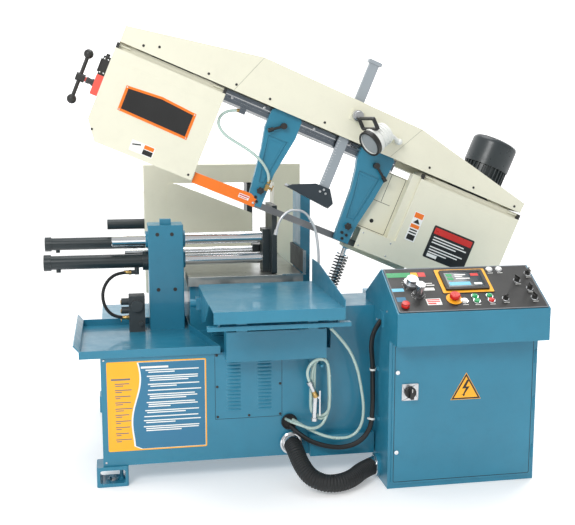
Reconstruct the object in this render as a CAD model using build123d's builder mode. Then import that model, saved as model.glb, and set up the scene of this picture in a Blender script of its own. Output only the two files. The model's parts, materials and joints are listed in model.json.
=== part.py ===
from build123d import *
import os
from math import cos, pi, radians, sin, tan

# Horizontal pivot-bow metal-cutting band saw. Millimetres, +Z up, +X right, +Y to the back.
# Origin: the floor at the centre of the four anchor holes. The bow stands raised.

os.makedirs("parts", exist_ok=True)

# ---------------------------------------------------------------- driving dimensions
# Cabinet, feet and anchor holes
HALF_LENGTH, HALF_DEPTH = 760, 518
CABINET_LOW, DECK = 82, 521
ANCHOR_X, ANCHOR_Y, ANCHOR_R = 725, 478, 9
SHEET = 4

# Bed, vises and shuttle
BED_LEFT, BED_RIGHT, BED_FRONT, BED_BACK = -388, 112, -146, 700
BED_TOP, BED_THICKNESS = 760, 40
POST_LEFT, POST_RIGHT = -551, -401
VISE_Y, SHUTTLE_Y = -20, 578
BAR_Z, CYLINDER_Z, MID_BAR_Y, MID_BAR_Z = 912, 820, 66, 844
BAR_R, ROD_R, MID_BAR_R = 26, 25, 17.5
CYLINDER_R, CYLINDER_BORE = 30, 26
RUNNING_FIT = 0.05
RAIL_X_LEFT, RAIL_X_RIGHT, RAIL_Z, RAIL_R = -470, 195, 610, 16

# Bow: s runs along the blade to the right, n stands off it, the blade's line is n = 0
LEAN = radians(22.6)
BOW_X, BOW_Z = -72.2, 1061.4
BLADE_Y = -173
PIVOT_S, PIVOT_N = 804, -60
WHEEL_R, WHEEL_N, IDLER_S, DRIVE_S = 210, 210, -563, 831
WHEEL_FRONT, WHEEL_BACK = -188, -158
COVER_FRONT, COVER_BACK = -236, -190
HOUSING_FRONT, HOUSING_BACK = -188, -106
BLADE_WIDTH, BLADE_THICKNESS = 27, 1.2
PLATE = 3

# Head lift: from the clevis in the cabinet to the lug under the bow
LIFT_X, LIFT_Y, LIFT_Z = 154, -95, 430
LUG_S, LUG_N = 430, -15

# Console
CONSOLE_LEFT, CONSOLE_RIGHT, CONSOLE_FRONT, CONSOLE_BACK = 329, 935, -742, -529
PANEL_TOP, PANEL_FOOT = (-610, 850), (-841, 719)
PANEL_RUN, PANEL_RISE = PANEL_TOP[0] - PANEL_FOOT[0], PANEL_TOP[1] - PANEL_FOOT[1]
PANEL_MIDDLE = (632, (PANEL_TOP[0] + PANEL_FOOT[0]) / 2, (PANEL_TOP[1] + PANEL_FOOT[1]) / 2)
PANEL_PLANE = Plane(origin=PANEL_MIDDLE, x_dir=(1, 0, 0), z_dir=(0, -PANEL_RISE, PANEL_RUN))

S_DIR = Vector(cos(LEAN), 0, -sin(LEAN))
N_DIR = Vector(sin(LEAN), 0, cos(LEAN))


# ---------------------------------------------------------------- helpers
def bow_point(s, n, y):
    """Row position of a point of the raised bow."""
    return Vector(BOW_X, y, BOW_Z) + S_DIR * s + N_DIR * n


def bow(y):
    """Plane across the bow at depth y, facing the front."""
    return Plane(origin=(BOW_X, y, BOW_Z), x_dir=S_DIR, z_dir=(0, -1, 0))


def front(y):
    """Upright plane at depth y, facing the front."""
    return Plane(origin=(0, y, 0), x_dir=(1, 0, 0), z_dir=(0, -1, 0))


def block(x, y, z, mode=Mode.ADD):
    """Box between low and high x, y and z."""
    with Locations(((x[0] + x[1]) / 2, (y[0] + y[1]) / 2, (z[0] + z[1]) / 2)):
        Box(x[1] - x[0], y[1] - y[0], z[1] - z[0], mode=mode)


def prism(plane, points, depth, mode=Mode.ADD):
    """Closed outline on a plane, extruded along the plane's normal."""
    with BuildSketch(plane) as profile:
        with BuildLine():
            Polyline(*points, close=True)
        make_face()
    extrude(profile.sketch, amount=depth, mode=mode)


def disc(plane, x, y, r, depth, mode=Mode.ADD):
    """Round boss or hole on a plane."""
    with BuildSketch(plane) as profile:
        with Locations((x, y)):
            Circle(r)
    extrude(profile.sketch, amount=depth, mode=mode)


def rod(start, end, r, mode=Mode.ADD):
    """Round bar between two points."""
    axis = Vector(*end) - Vector(*start)
    with BuildSketch(Plane(origin=start, z_dir=axis)) as profile:
        Circle(r)
    extrude(profile.sketch, amount=axis.length, mode=mode)


def ball(centre, r):
    with Locations(tuple(Vector(*centre))):
        Sphere(r)


def outline(points, y, mode=Mode.ADD):
    """Outline on the bow between two depths."""
    prism(bow(y[1]), points, y[1] - y[0], mode)


def slab(s, n, y, mode=Mode.ADD):
    """Rectangle of the bow between two depths."""
    points = [(s[0], n[0]), (s[1], n[0]), (s[1], n[1]), (s[0], n[1])]
    outline(points, y, mode)


def boss(s, n, r, y, mode=Mode.ADD):
    """Round boss or hole across the bow between two depths."""
    disc(bow(y[1]), s, n, r, y[1] - y[0], mode)


def write(piece, name):
    piece.part.label = name
    export_step(piece.part, f"parts/{name}.step")


def bend_radii(points):
    """Radius of each bend: 0.45 of its shorter run over the tangent of half its turn."""
    radii = []
    for before, here, after in zip(points, points[1:], points[2:]):
        run_in = Vector(*here) - Vector(*before)
        run_out = Vector(*after) - Vector(*here)
        half_turn = radians(run_in.get_angle(run_out)) / 2
        radii.append(0.45 * min(run_in.length, run_out.length) / tan(half_turn))
    return radii


def hose(name, points, diameter):
    """Round hose of straight runs joined by tangent arcs."""
    radii = bend_radii(points)
    with BuildPart() as tube:
        with BuildLine() as path:
            FilletPolyline(*points, radius=radii)
        with BuildSketch(Plane(origin=path.line @ 0, z_dir=path.line % 0)):
            Circle(diameter / 2)
        sweep()
    write(tube, name)
    length = path.wires()[0].length
    share = tube.part.volume / (pi * diameter**2 / 4 * length)
    print(name, "length", round(length), "radii", [round(r) for r in radii], "volume share", round(share, 3))


# ---------------------------------------------------------------- cabinet and feet
RISER_X, RISER_Y, RISER_TOP = (150, 560), (-518, -262), 690
SHELF_TOP = 560
STAND_X, STAND_Y = (-380, 100), (-120, 500)


def sheet_box(x, y, z):
    """Sheet-metal box whose inside joins the cabinet's below."""
    block(x, y, z)
    inner_x = (x[0] + SHEET, x[1] - SHEET)
    inner_y = (y[0] + SHEET, y[1] - SHEET)
    block(inner_x, inner_y, (DECK - SHEET, z[1] - SHEET), Mode.SUBTRACT)


with BuildPart() as base_cabinet:
    block((-HALF_LENGTH, HALF_LENGTH), (-HALF_DEPTH, HALF_DEPTH), (CABINET_LOW, DECK))
    inner_half = HALF_LENGTH - SHEET
    inner_depth = HALF_DEPTH - SHEET
    inner_z = (CABINET_LOW + SHEET, DECK - SHEET)
    block((-inner_half, inner_half), (-inner_depth, inner_depth), inner_z, Mode.SUBTRACT)
    sheet_box(RISER_X, RISER_Y, (DECK, RISER_TOP))
    sheet_box((RISER_X[1], HALF_LENGTH), (-HALF_DEPTH, HALF_DEPTH), (DECK, SHELF_TOP))
    sheet_box(STAND_X, STAND_Y, (DECK, BED_TOP - BED_THICKNESS))
    # way through the deck for the head lift
    block((140, 236), (LIFT_Y - 36, LIFT_Y + 36), (DECK - 10, DECK + 10), Mode.SUBTRACT)
    # beam and clevis that carry the head lift
    block((120, 188), (-inner_depth, LIFT_Y + 40), (380, 394))
    block((134, 174), (LIFT_Y - 28, LIFT_Y - 18), (394, LIFT_Z + 8))
    block((134, 174), (LIFT_Y + 18, LIFT_Y + 28), (394, LIFT_Z + 8))
    # louvre slots in the front, two columns
    with BuildSketch(front(-HALF_DEPTH + SHEET + 1)):
        with Locations((-181, 381)):
            with GridLocations(124, 15, 2, 14):
                SlotOverall(56, 6)
    extrude(amount=SHEET + 2, mode=Mode.SUBTRACT)
    # coolant tank standing proud at the front, hose grommet and conduit flange
    block((60, 325), (-560, -HALF_DEPTH), (84, 170))
    disc(front(-HALF_DEPTH), -20, 224, 32, 6)
    disc(front(-HALF_DEPTH), -11, 135, 48, 12)
    # hook for the wash hose
    rod((97, -HALF_DEPTH, 469), (97, -602, 469), 5.5)
    block((60, 134), (-522, -HALF_DEPTH), (452, 486))
write(base_cabinet, "base_cabinet")

FOOT_WIDTH, FOOT_DEPTH, FOOT_FLOOR = 124, 100, 14
with BuildPart() as base_feet:
    with GridLocations(2 * ANCHOR_X, 2 * ANCHOR_Y, 2, 2):
        Box(FOOT_WIDTH, FOOT_DEPTH, CABINET_LOW, align=(Align.CENTER, Align.CENTER, Align.MIN))
    fillet(base_feet.edges().filter_by(Axis.Z), 10)
    with BuildSketch(Plane.XZ.offset(-600)):
        with Locations((-ANCHOR_X, FOOT_FLOOR + 27), (ANCHOR_X, FOOT_FLOOR + 27)):
            RectangleRounded(98, 54, 9)
    extrude(amount=1200, mode=Mode.SUBTRACT)
    with GridLocations(2 * ANCHOR_X, 2 * ANCHOR_Y, 2, 2):
        Cylinder(ANCHOR_R, 3 * FOOT_FLOOR, mode=Mode.SUBTRACT)
    # levelling screws, inboard of the anchor holes
    for x in (-ANCHOR_X + 34, ANCHOR_X - 34):
        for y in (-ANCHOR_Y, ANCHOR_Y):
            rod((x, y, FOOT_FLOOR), (x, y, CABINET_LOW - FOOT_FLOOR), 7)
            with BuildSketch(Plane.XY.offset(FOOT_FLOOR)):
                with Locations((x, y)):
                    RegularPolygon(13, 6)
            extrude(amount=11)
write(base_feet, "base_feet")

# ---------------------------------------------------------------- drip tray
TRAY_OUTLINE = [(-840, -530), (-296, -530), (-384, -124), (-384, 50), (-840, 50)]
with BuildPart() as drip_tray:
    with BuildSketch(Plane.XY.offset(DECK)):
        with BuildLine():
            Polyline(*TRAY_OUTLINE, close=True)
        make_face()
    extrude(amount=31)
    with BuildSketch(Plane.XY.offset(DECK + PLATE)):
        with BuildLine():
            Polyline(*TRAY_OUTLINE, close=True)
        make_face()
        offset(amount=-PLATE, kind=Kind.INTERSECTION)
    extrude(amount=40, mode=Mode.SUBTRACT)
    # flared left rim
    lip = [(-840, 549), (-837, 552), (-858, 577), (-862, 574)]
    prism(front(50), lip, 580)
write(drip_tray, "drip_tray")

# ---------------------------------------------------------------- head pivot
PIVOT = bow_point(PIVOT_S, PIVOT_N, 0)
PIN_R = 20
with BuildPart() as pivot_pedestal:
    block((575, 719), (-102, 100), (SHELF_TOP, 640))
    block((560, 734), (-130, 130), (SHELF_TOP, SHELF_TOP + 14))
    for y_front, y_back in ((-102, -82), (-38, -18)):
        width = 40
        block((PIVOT.X - width, PIVOT.X + width), (y_front, y_back), (640, PIVOT.Z))
        disc(front(y_back), PIVOT.X, PIVOT.Z, width, y_back - y_front)
    rod((PIVOT.X, -104, PIVOT.Z), (PIVOT.X, -14, PIVOT.Z), PIN_R)
write(pivot_pedestal, "pivot_pedestal")

# ---------------------------------------------------------------- hydraulics
with BuildPart() as hydraulic_unit:
    # power pack inside the cabinet: reservoir, pump flange and motor
    block((-700, -420), (-300, 100), (CABINET_LOW + SHEET, 300))
    rod((-560, -100, 300), (-560, -100, 330), 85)
    rod((-560, -100, 330), (-560, -100, 500), 70)
    # valve manifold on the drip tray, with solenoids, ports and gauge
    block((-640, -572), (-112, -40), (DECK + PLATE, 680))
    for z in (614, 652):
        rod((-640, -76, z), (-672, -76, z), 15)
    rod((-606, -112, 640), (-606, -130, 640), 24)
    rod((-640, -76, 582), (-642, -76, 582), 10)
    rod((-590, -112, 560), (-590, -124, 560), 9)
write(hydraulic_unit, "hydraulic_unit")

# ---------------------------------------------------------------- bed and front vise
with BuildPart() as bed_plate:
    block((BED_LEFT, BED_RIGHT), (BED_FRONT, BED_BACK), (BED_TOP - BED_THICKNESS, BED_TOP))
    chamfer(bed_plate.faces().sort_by(Axis.Z)[-1].edges(), 2)
write(bed_plate, "bed_plate")

with BuildPart() as vise_post:
    block((POST_LEFT, POST_RIGHT), (-85, 45), (DECK + PLATE, 979))
    fillet(vise_post.edges().filter_by(Axis.Z), 4)
    block((POST_LEFT, POST_RIGHT), (45, 94), (812, 876))
    block((-500, -452), (-60, -30), (979, 1003))
    for x, depth in ((POST_LEFT, -10), (POST_RIGHT, 10)):
        disc(Plane.YZ.offset(x), VISE_Y, BAR_Z, 36, depth)
    disc(Plane.YZ.offset(POST_RIGHT), VISE_Y, CYLINDER_Z, 36, 10)
    across = POST_RIGHT - POST_LEFT + 60
    hole_plane = Plane.YZ.offset(POST_LEFT - 30)
    disc(hole_plane, VISE_Y, BAR_Z, BAR_R + RUNNING_FIT, across, Mode.SUBTRACT)
    disc(hole_plane, VISE_Y, CYLINDER_Z, ROD_R + RUNNING_FIT, across, Mode.SUBTRACT)
    disc(hole_plane, MID_BAR_Y, MID_BAR_Z, MID_BAR_R + RUNNING_FIT, across, Mode.SUBTRACT)
write(vise_post, "vise_post")

with BuildPart() as fixed_jaw:
    block((114, 125), (-141, 168), (BED_TOP + 4, 860))
    fillet(fixed_jaw.edges().filter_by(Axis.X), 4)
write(fixed_jaw, "fixed_jaw")

with BuildPart() as jaw_column:
    block((125, 169), (-16, 161), (DECK, 1116))
    top_edge = jaw_column.edges().filter_by(Axis.Y).group_by(Axis.Z)[-1].sort_by(Axis.X)[-1]
    fillet(top_edge, 30)
write(jaw_column, "jaw_column")


def cylinder_barrel(left, right, y):
    """Hydraulic cylinder along X: barrel, end cap, gland flange and two port bosses."""
    barrel_plane = Plane.YZ.offset(left)
    disc(barrel_plane, y, CYLINDER_Z, CYLINDER_R, right - left)
    disc(barrel_plane, y, CYLINDER_Z, CYLINDER_R + 5, 30)
    disc(Plane.YZ.offset(right - 24), y, CYLINDER_Z, CYLINDER_R + 12, 24)
    disc(Plane.YZ.offset(left + 20), y, CYLINDER_Z, CYLINDER_BORE, right - left, Mode.SUBTRACT)
    rod((left + 60, y, CYLINDER_Z - CYLINDER_R + 2), (left + 60, y, CYLINDER_Z - CYLINDER_R - 12), 10)
    # elbow at the rod end
    rod((right - 50, y, CYLINDER_Z - CYLINDER_R + 2), (right - 50, y, 760), 10)
    rod((right - 50, y, 770), (right - 80, y, 770), 9)


with BuildPart() as vise_cylinder:
    cylinder_barrel(-992, POST_LEFT, VISE_Y)
write(vise_cylinder, "vise_cylinder")

with BuildPart() as vise_jaw:
    block((-22, 0), (-130, 50), (BED_TOP + 3, 1060))
    fillet(vise_jaw.edges().filter_by(Axis.X), 5)
    block((-52, -22), (-60, 20), (BED_TOP + 3, 950))
    block((-82, -22), (MID_BAR_Y - 26, MID_BAR_Y + 26), (MID_BAR_Z - 26, MID_BAR_Z + 26))
write(vise_jaw, "vise_jaw")

with BuildPart() as vise_bars:
    disc(Plane.YZ.offset(-705), VISE_Y, BAR_Z, BAR_R, 705 - 52)
    disc(Plane.YZ.offset(-667), VISE_Y, CYLINDER_Z, ROD_R, 667 - 52)
    disc(Plane.YZ.offset(-650), MID_BAR_Y, MID_BAR_Z, MID_BAR_R, 650 - 82)
    chamfer(vise_bars.edges().filter_by(GeomType.CIRCLE).group_by(Axis.X)[0], 2)
write(vise_bars, "vise_bars")

# ---------------------------------------------------------------- shuttle vise
SHUTTLE_FRONT, SHUTTLE_BACK, PORTAL_TOP = 513, 643, 1204
with BuildPart() as shuttle:
    depth = (SHUTTLE_FRONT, SHUTTLE_BACK)
    block((-545, -402), depth, (575, PORTAL_TOP))
    block((114, 228), depth, (575, PORTAL_TOP))
    block((-402, 114), depth, (1115, PORTAL_TOP))
    block((96, 114), depth, (BED_TOP + 4, 1121))
    # guard plate across the front, its top edge sloping down to the right
    guard = [(-430, 1112), (-430, 785), (-16, 785), (-16, 963), (-386, 1112)]
    prism(front(SHUTTLE_FRONT), guard, 6)
    rail_plane = Plane.XZ.offset(-SHUTTLE_BACK - 20)
    rail_length = SHUTTLE_BACK - SHUTTLE_FRONT + 60
    disc(rail_plane, RAIL_X_LEFT, RAIL_Z, RAIL_R + RUNNING_FIT, rail_length, Mode.SUBTRACT)
    disc(rail_plane, RAIL_X_RIGHT, RAIL_Z, RAIL_R + RUNNING_FIT, rail_length, Mode.SUBTRACT)
    bar_plane = Plane.YZ.offset(-560)
    disc(bar_plane, SHUTTLE_Y, BAR_Z, ROD_R + RUNNING_FIT, 200, Mode.SUBTRACT)
    disc(bar_plane, SHUTTLE_Y, CYLINDER_Z, ROD_R + RUNNING_FIT, 200, Mode.SUBTRACT)
write(shuttle, "shuttle")

with BuildPart() as shuttle_cylinder:
    cylinder_barrel(-1027, -545, SHUTTLE_Y)
write(shuttle_cylinder, "shuttle_cylinder")

with BuildPart() as shuttle_jaw:
    block((-39, -12), (522, 640), (BED_TOP + 4, 1111))
    fillet(shuttle_jaw.edges().filter_by(Axis.X), 5)
    disc(Plane.YZ.offset(-726), SHUTTLE_Y, BAR_Z, ROD_R, 726 - 39)
    disc(Plane.YZ.offset(-690), SHUTTLE_Y, CYLINDER_Z, ROD_R, 690 - 39)
write(shuttle_jaw, "shuttle_jaw")

ROLLER_Y, ROLLER_Z, ROLLER_R, ROLLER_PIN = 790, 734, 26, 8
with BuildPart() as infeed_frame:
    for x_low, x_high in ((-396, -384), (100, 112)):
        block((x_low, x_high), (BED_BACK, 860), (600, 772))
    block((-396, -346), (810, 860), (0, 640))
    block((62, 112), (810, 860), (0, 640))
    block((-410, -332), (796, 874), (0, 10))
    block((48, 126), (796, 874), (0, 10))
    block((-510, 240), (790, 810), (580, 645))
    block((-346, 62), (822, 850), (200, 240))
    block((-500, -440), (50, 80), (DECK, 640))
    block((172, 222), (20, 50), (DECK, 640))
    rod((RAIL_X_LEFT, 80, RAIL_Z), (RAIL_X_LEFT, 790, RAIL_Z), RAIL_R)
    rod((RAIL_X_RIGHT, 50, RAIL_Z), (RAIL_X_RIGHT, 790, RAIL_Z), RAIL_R)
    pin_plane = Plane.YZ.offset(-400)
    disc(pin_plane, ROLLER_Y, ROLLER_Z, ROLLER_PIN + RUNNING_FIT, 600, Mode.SUBTRACT)
write(infeed_frame, "infeed_frame")

with BuildPart() as infeed_roller:
    rod((-382, ROLLER_Y, ROLLER_Z), (98, ROLLER_Y, ROLLER_Z), ROLLER_R)
    rod((-396, ROLLER_Y, ROLLER_Z), (112, ROLLER_Y, ROLLER_Z), ROLLER_PIN)
write(infeed_roller, "infeed_roller")

# ---------------------------------------------------------------- discharge side
TRAY_X, TRAY_Y, TRAY_FLOOR = (-348, 140), (-788, -201), 738
with BuildPart() as discharge_tray:
    block(TRAY_X, TRAY_Y, (TRAY_FLOOR - PLATE, TRAY_FLOOR))
    block(TRAY_X, (TRAY_Y[0] - PLATE, TRAY_Y[0]), (TRAY_FLOOR - 42, TRAY_FLOOR + 3))
    # right wing plate, higher at the back
    wing_front = TRAY_Y[0] - PLATE
    wing = [(wing_front, 700), (TRAY_Y[1], 700), (TRAY_Y[1], 836), (-330, 836), (wing_front, 770)]
    prism(Plane.YZ.offset(TRAY_X[1]), wing, PLATE)
    # left side plate hanging down, its rib and its round knob
    hanger = [(-640, TRAY_FLOOR), (-225, TRAY_FLOOR), (-225, 640), (-330, 600), (-480, 640)]
    prism(Plane.YZ.offset(TRAY_X[0] - PLATE), hanger, PLATE)
    block((TRAY_X[0] - 20, TRAY_X[0] - PLATE), (-300, -260), (650, 700))
    rod((TRAY_X[0] - 20, -280, 675), (TRAY_X[0] - 44, -280, 675), 17)
    # lower gutter rail under the front fascia
    block((-369, 172), (-766, -736), (664, 680))
    block((-330, -322), (-760, -742), (680, TRAY_FLOOR - PLATE))
    block((120, 128), (-760, -742), (680, TRAY_FLOOR - PLATE))
    # chute box against the cabinet, and the two struts that carry the tray
    block((-280, 115), (-601, -HALF_DEPTH), (502, 620))
    block((-276, 111), (-597, -HALF_DEPTH), (506, 621), Mode.SUBTRACT)
    block((-240, -200), (-600, -596), (600, TRAY_FLOOR - PLATE))
    block((40, 80), (-600, -596), (600, TRAY_FLOOR - PLATE))
    block((-300, 110), (-240, -204), (DECK, DECK + 6))
    # spigot of the drain hose
    rod((126, -617, TRAY_FLOOR - PLATE), (126, -617, 625), 8)
    block((-240, -200), (-226, -214), (DECK + 6, TRAY_FLOOR - PLATE))
    block((40, 80), (-226, -214), (DECK + 6, TRAY_FLOOR - PLATE))
write(discharge_tray, "discharge_tray")

PIPE_Y, PIPE_R = -275, 5.5
PIPE_POINTS = [
    (153, PIPE_Y, 760),
    (153, PIPE_Y, 880),
    (138, PIPE_Y, 980),
    (92, PIPE_Y, 1050),
    (28, PIPE_Y, 1056),
    (-14, PIPE_Y, 1018),
    (-30, PIPE_Y, 960),
]
with BuildPart() as coolant_pipe:
    with BuildLine() as pipe_path:
        FilletPolyline(*PIPE_POINTS, radius=bend_radii(PIPE_POINTS))
    with BuildSketch(Plane(origin=pipe_path.line @ 0, z_dir=pipe_path.line % 0)):
        Circle(PIPE_R)
    sweep()
    # brass fitting screwed to the wing plate, and the nozzle
    block((143, 163), (PIPE_Y - 12, PIPE_Y + 12), (744, 792))
    rod((153, PIPE_Y, 792), (153, PIPE_Y, 812), 9)
    rod((-27, PIPE_Y, 972), (-32, PIPE_Y, 952), 8)
write(coolant_pipe, "coolant_pipe")

# ---------------------------------------------------------------- console
CONSOLE_PROFILE = [
    (CONSOLE_FRONT, 0), (CONSOLE_BACK, 0), (CONSOLE_BACK, 690), (-390, 690), (-390, 723),
    PANEL_TOP, PANEL_FOOT, (-841, 594), (CONSOLE_FRONT, 594),
]
CONSOLE_INSIDE = [
    (-738, 4), (-533, 4), (-533, 694), (-394, 694), (-394, 720),
    (-610, 844), (-837, 716), (-837, 598), (-738, 598),
]
DOOR_X, DOOR_Z = (343, 923), (20, 580)
with BuildPart() as console_cabinet:
    prism(Plane.YZ.offset(CONSOLE_LEFT), CONSOLE_PROFILE, CONSOLE_RIGHT - CONSOLE_LEFT)
    inside_length = CONSOLE_RIGHT - CONSOLE_LEFT - 2 * SHEET
    prism(Plane.YZ.offset(CONSOLE_LEFT + SHEET), CONSOLE_INSIDE, inside_length, Mode.SUBTRACT)
    block((355, 911), (-750, -730), (32, 568), Mode.SUBTRACT)
    # cable entry, tie clips and conduit gland on the left side
    block((CONSOLE_LEFT - 5, CONSOLE_LEFT), (-656, -612), (628, 690))
    block((CONSOLE_LEFT - 8, CONSOLE_LEFT), (-600, -580), (440, 454))
    block((CONSOLE_LEFT - 8, CONSOLE_LEFT), (-624, -604), (240, 254))
    rod((CONSOLE_LEFT - 14, -612, 52), (CONSOLE_LEFT, -612, 52), 46)
write(console_cabinet, "console_cabinet")

with BuildPart() as console_door:
    block(DOOR_X, (CONSOLE_FRONT - 5, CONSOLE_FRONT - 1), DOOR_Z)
    fillet(console_door.edges().filter_by(Axis.Y), 6)
    for z in (150, 470):
        rod((DOOR_X[0] + 18, CONSOLE_FRONT - 5, z), (DOOR_X[0] + 18, CONSOLE_FRONT - 9, z), 9)
    # hinge barrels at the right edge
    for z in (90, 290, 480):
        rod((DOOR_X[1] + 4, CONSOLE_FRONT - 6, z), (DOOR_X[1] + 4, CONSOLE_FRONT - 6, z + 50), 5)
    # switch plate
    block((379, 445), (CONSOLE_FRONT - 8, CONSOLE_FRONT - 5), (357, 423))
write(console_door, "console_door")

SWITCH_X, SWITCH_Z = 412, 390
with BuildPart() as main_switch:
    switch_front = CONSOLE_FRONT - 8.3
    disc(front(switch_front), SWITCH_X, SWITCH_Z, 22, 12)
    block((SWITCH_X - 6, SWITCH_X + 6), (switch_front - 30, switch_front - 12), (SWITCH_Z - 21, SWITCH_Z + 21))
    fillet(main_switch.edges().filter_by(Axis.Y), 3)
write(main_switch, "main_switch")

# Panel controls, placed from the middle of the sloped panel: right and up the slope
PANEL_SIZE, PANEL_THICKNESS = (594, 256), 3
E_STOP, START, PRESSURE, FEED = (-64, -64), (21, -80), (-208, 31), (-197, -33)
SELECTORS = [(282, 72), (223, 32), (258, -18), (139, -73), (257, -73)]
PUSH_BUTTONS = [(-27, -77), (21, -54), (80, -54), (80, -80), (132, 104), (172, 104)]
RED_KNOB = (-264, -92)


def on_panel(x, y, r, low, high, mode=Mode.ADD):
    """Round piece or hole on the sloped panel."""
    disc(PANEL_PLANE.offset(low), x, y, r, high - low, mode)


with BuildPart() as console_panel:
    with BuildSketch(PANEL_PLANE):
        RectangleRounded(*PANEL_SIZE, 5)
    extrude(amount=PANEL_THICKNESS)
    for x, y in SELECTORS:
        on_panel(x, y, 14, PANEL_THICKNESS, 7)
        on_panel(x, y, 11, 7, 22)
    for x, y in PUSH_BUTTONS:
        on_panel(x, y, 13.5, PANEL_THICKNESS, 7)
        on_panel(x, y, 10.5, 7, 11)
    on_panel(*RED_KNOB, 15, PANEL_THICKNESS, 18)
    on_panel(*E_STOP, 31, PANEL_THICKNESS, 5)
    on_panel(*START, 13.5, PANEL_THICKNESS, 7)
    on_panel(*START, 10.8, PANEL_THICKNESS, 8, Mode.SUBTRACT)
write(console_panel, "console_panel")

SCREEN_X, SCREEN_Y = (-98, 112), (-31, 113)
with BuildPart() as touch_screen:
    centre = ((SCREEN_X[0] + SCREEN_X[1]) / 2, (SCREEN_Y[0] + SCREEN_Y[1]) / 2)
    size = (SCREEN_X[1] - SCREEN_X[0], SCREEN_Y[1] - SCREEN_Y[0])
    with BuildSketch(PANEL_PLANE.offset(PANEL_THICKNESS)):
        with Locations(centre):
            RectangleRounded(*size, 4)
    extrude(amount=2)
    with BuildSketch(PANEL_PLANE.offset(PANEL_THICKNESS + 2)):
        with Locations(centre):
            RectangleRounded(size[0] - 34, size[1] - 30, 6)
    extrude(amount=9)
    with BuildSketch(PANEL_PLANE.offset(PANEL_THICKNESS + 9)):
        with Locations(centre):
            Rectangle(size[0] - 62, size[1] - 56)
    extrude(amount=4, mode=Mode.SUBTRACT)
write(touch_screen, "touch_screen")

with BuildPart() as e_stop:
    on_panel(*E_STOP, 10, 9.5, 16)
    on_panel(*E_STOP, 20, 16, 30)
    fillet(e_stop.faces().sort_by(Axis.Z)[-1].edges(), 5)
write(e_stop, "e_stop")

with BuildPart() as start_button:
    on_panel(*START, 10.5, 6.2, 12)
write(start_button, "start_button")

with BuildPart() as pressure_knob:
    on_panel(*PRESSURE, 31, PANEL_THICKNESS + 0.3, 16)
    on_panel(*PRESSURE, 22, 16, 34)
write(pressure_knob, "pressure_knob")

with BuildPart() as feed_knob:
    on_panel(*FEED, 21.5, PANEL_THICKNESS + 0.3, 12)
    on_panel(*FEED, 14, 12, 44)
    with BuildSketch(PANEL_PLANE.offset(44)):
        with Locations(FEED):
            RegularPolygon(20, 6)
    extrude(amount=14)
write(feed_knob, "feed_knob")

# ---------------------------------------------------------------- bow frame
BEAM_N, BEAM_Y = (380, 455), (-100, -26)
PLATE_Y, HUB_Y = (-78, -42), (-80, -40)
SHAFT_R, AXLE_R = 25, 20
with BuildPart() as head_frame:
    slab((-640, 905), BEAM_N, BEAM_Y)
    # wheel carrier, axle and tension screw block at the left
    outline([(-640, 380), (-622, 150), (-504, 150), (-486, 380)], (-100, -60))
    boss(IDLER_S, WHEEL_N, 52, (-100, -60))
    boss(IDLER_S, WHEEL_N, AXLE_R, (-196, -100))
    # right plate down to the pivot hub, with the shaft bearing
    outline([(764, -50), (700, 200), (700, 380), (905, 380), (905, 150), (844, -50)], PLATE_Y)
    boss(PIVOT_S, PIVOT_N, 40, HUB_Y)
    boss(DRIVE_S, WHEEL_N, 60, PLATE_Y)
    boss(PIVOT_S, PIVOT_N, PIN_R + RUNNING_FIT, (-90, -30), Mode.SUBTRACT)
    boss(DRIVE_S, WHEEL_N, SHAFT_R + RUNNING_FIT, (-90, -30), Mode.SUBTRACT)
    # arm and clevis of the head lift
    outline([(404, -30), (440, -34), (720, -40), (752, 40), (720, 60), (404, 12)], (-85, -75))
    outline([(404, -30), (482, -34), (482, 16), (404, 12)], (-115, -105))
    slab((468, 482), (-28, 14), (-105, -85))
    boss(LUG_S, LUG_N, 8, (-115, -75))
    # stand-offs that carry the wheel housings
    slab((770, 800), (330, 370), (HOUSING_BACK, PLATE_Y[0]))
    slab((-700, -660), (384, 392), (HOUSING_BACK, BEAM_Y[0]))
    slab((-480, -440), (384, 392), (HOUSING_BACK, BEAM_Y[0]))
    slab((-720, -640), (384, 440), (-100, -60))
write(head_frame, "head_frame")

RAIL_S, RAIL_N, RAIL_Y = (-322, 470), (345, 398), (-182.5, -100)
with BuildPart() as guide_rail:
    slab(RAIL_S, RAIL_N, RAIL_Y)
    slab((-310, 460), (366, 376), (-183, -178), Mode.SUBTRACT)
    # gland of the coolant hose
    slab((-244, -218), (326, 350), (-200, -170))
write(guide_rail, "guide_rail")

# Hump-backed cover over the top run, open below
COVER_LINE = [(-791, 399), (-791, 465), (-234, 570), (505, 560), (1069, 443), (1067, 399)]
COVER_INSIDE = [(-788, 300), (-788, 462), (-234, 567), (505, 557), (1066, 440), (1064, 300)]
with BuildPart() as top_cover:
    outline(COVER_LINE, (-243, -20))
    outline(COVER_INSIDE, (-240, -23), Mode.SUBTRACT)
    slab((178, 242), (520, 600), (-226, -190), Mode.SUBTRACT)
    # clamp block of the height bar and boss of the lamp
    slab((190, 240), (478, 526), (-250, -243))
    boss(420, 470, 16, (-256, -243))
    # strap that hangs the cover on the beam
    slab((-500, -460), (455, 518.5), (-40, -34))
    slab((660, 700), (455, 518.5), (-40, -34))
write(top_cover, "top_cover")

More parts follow.
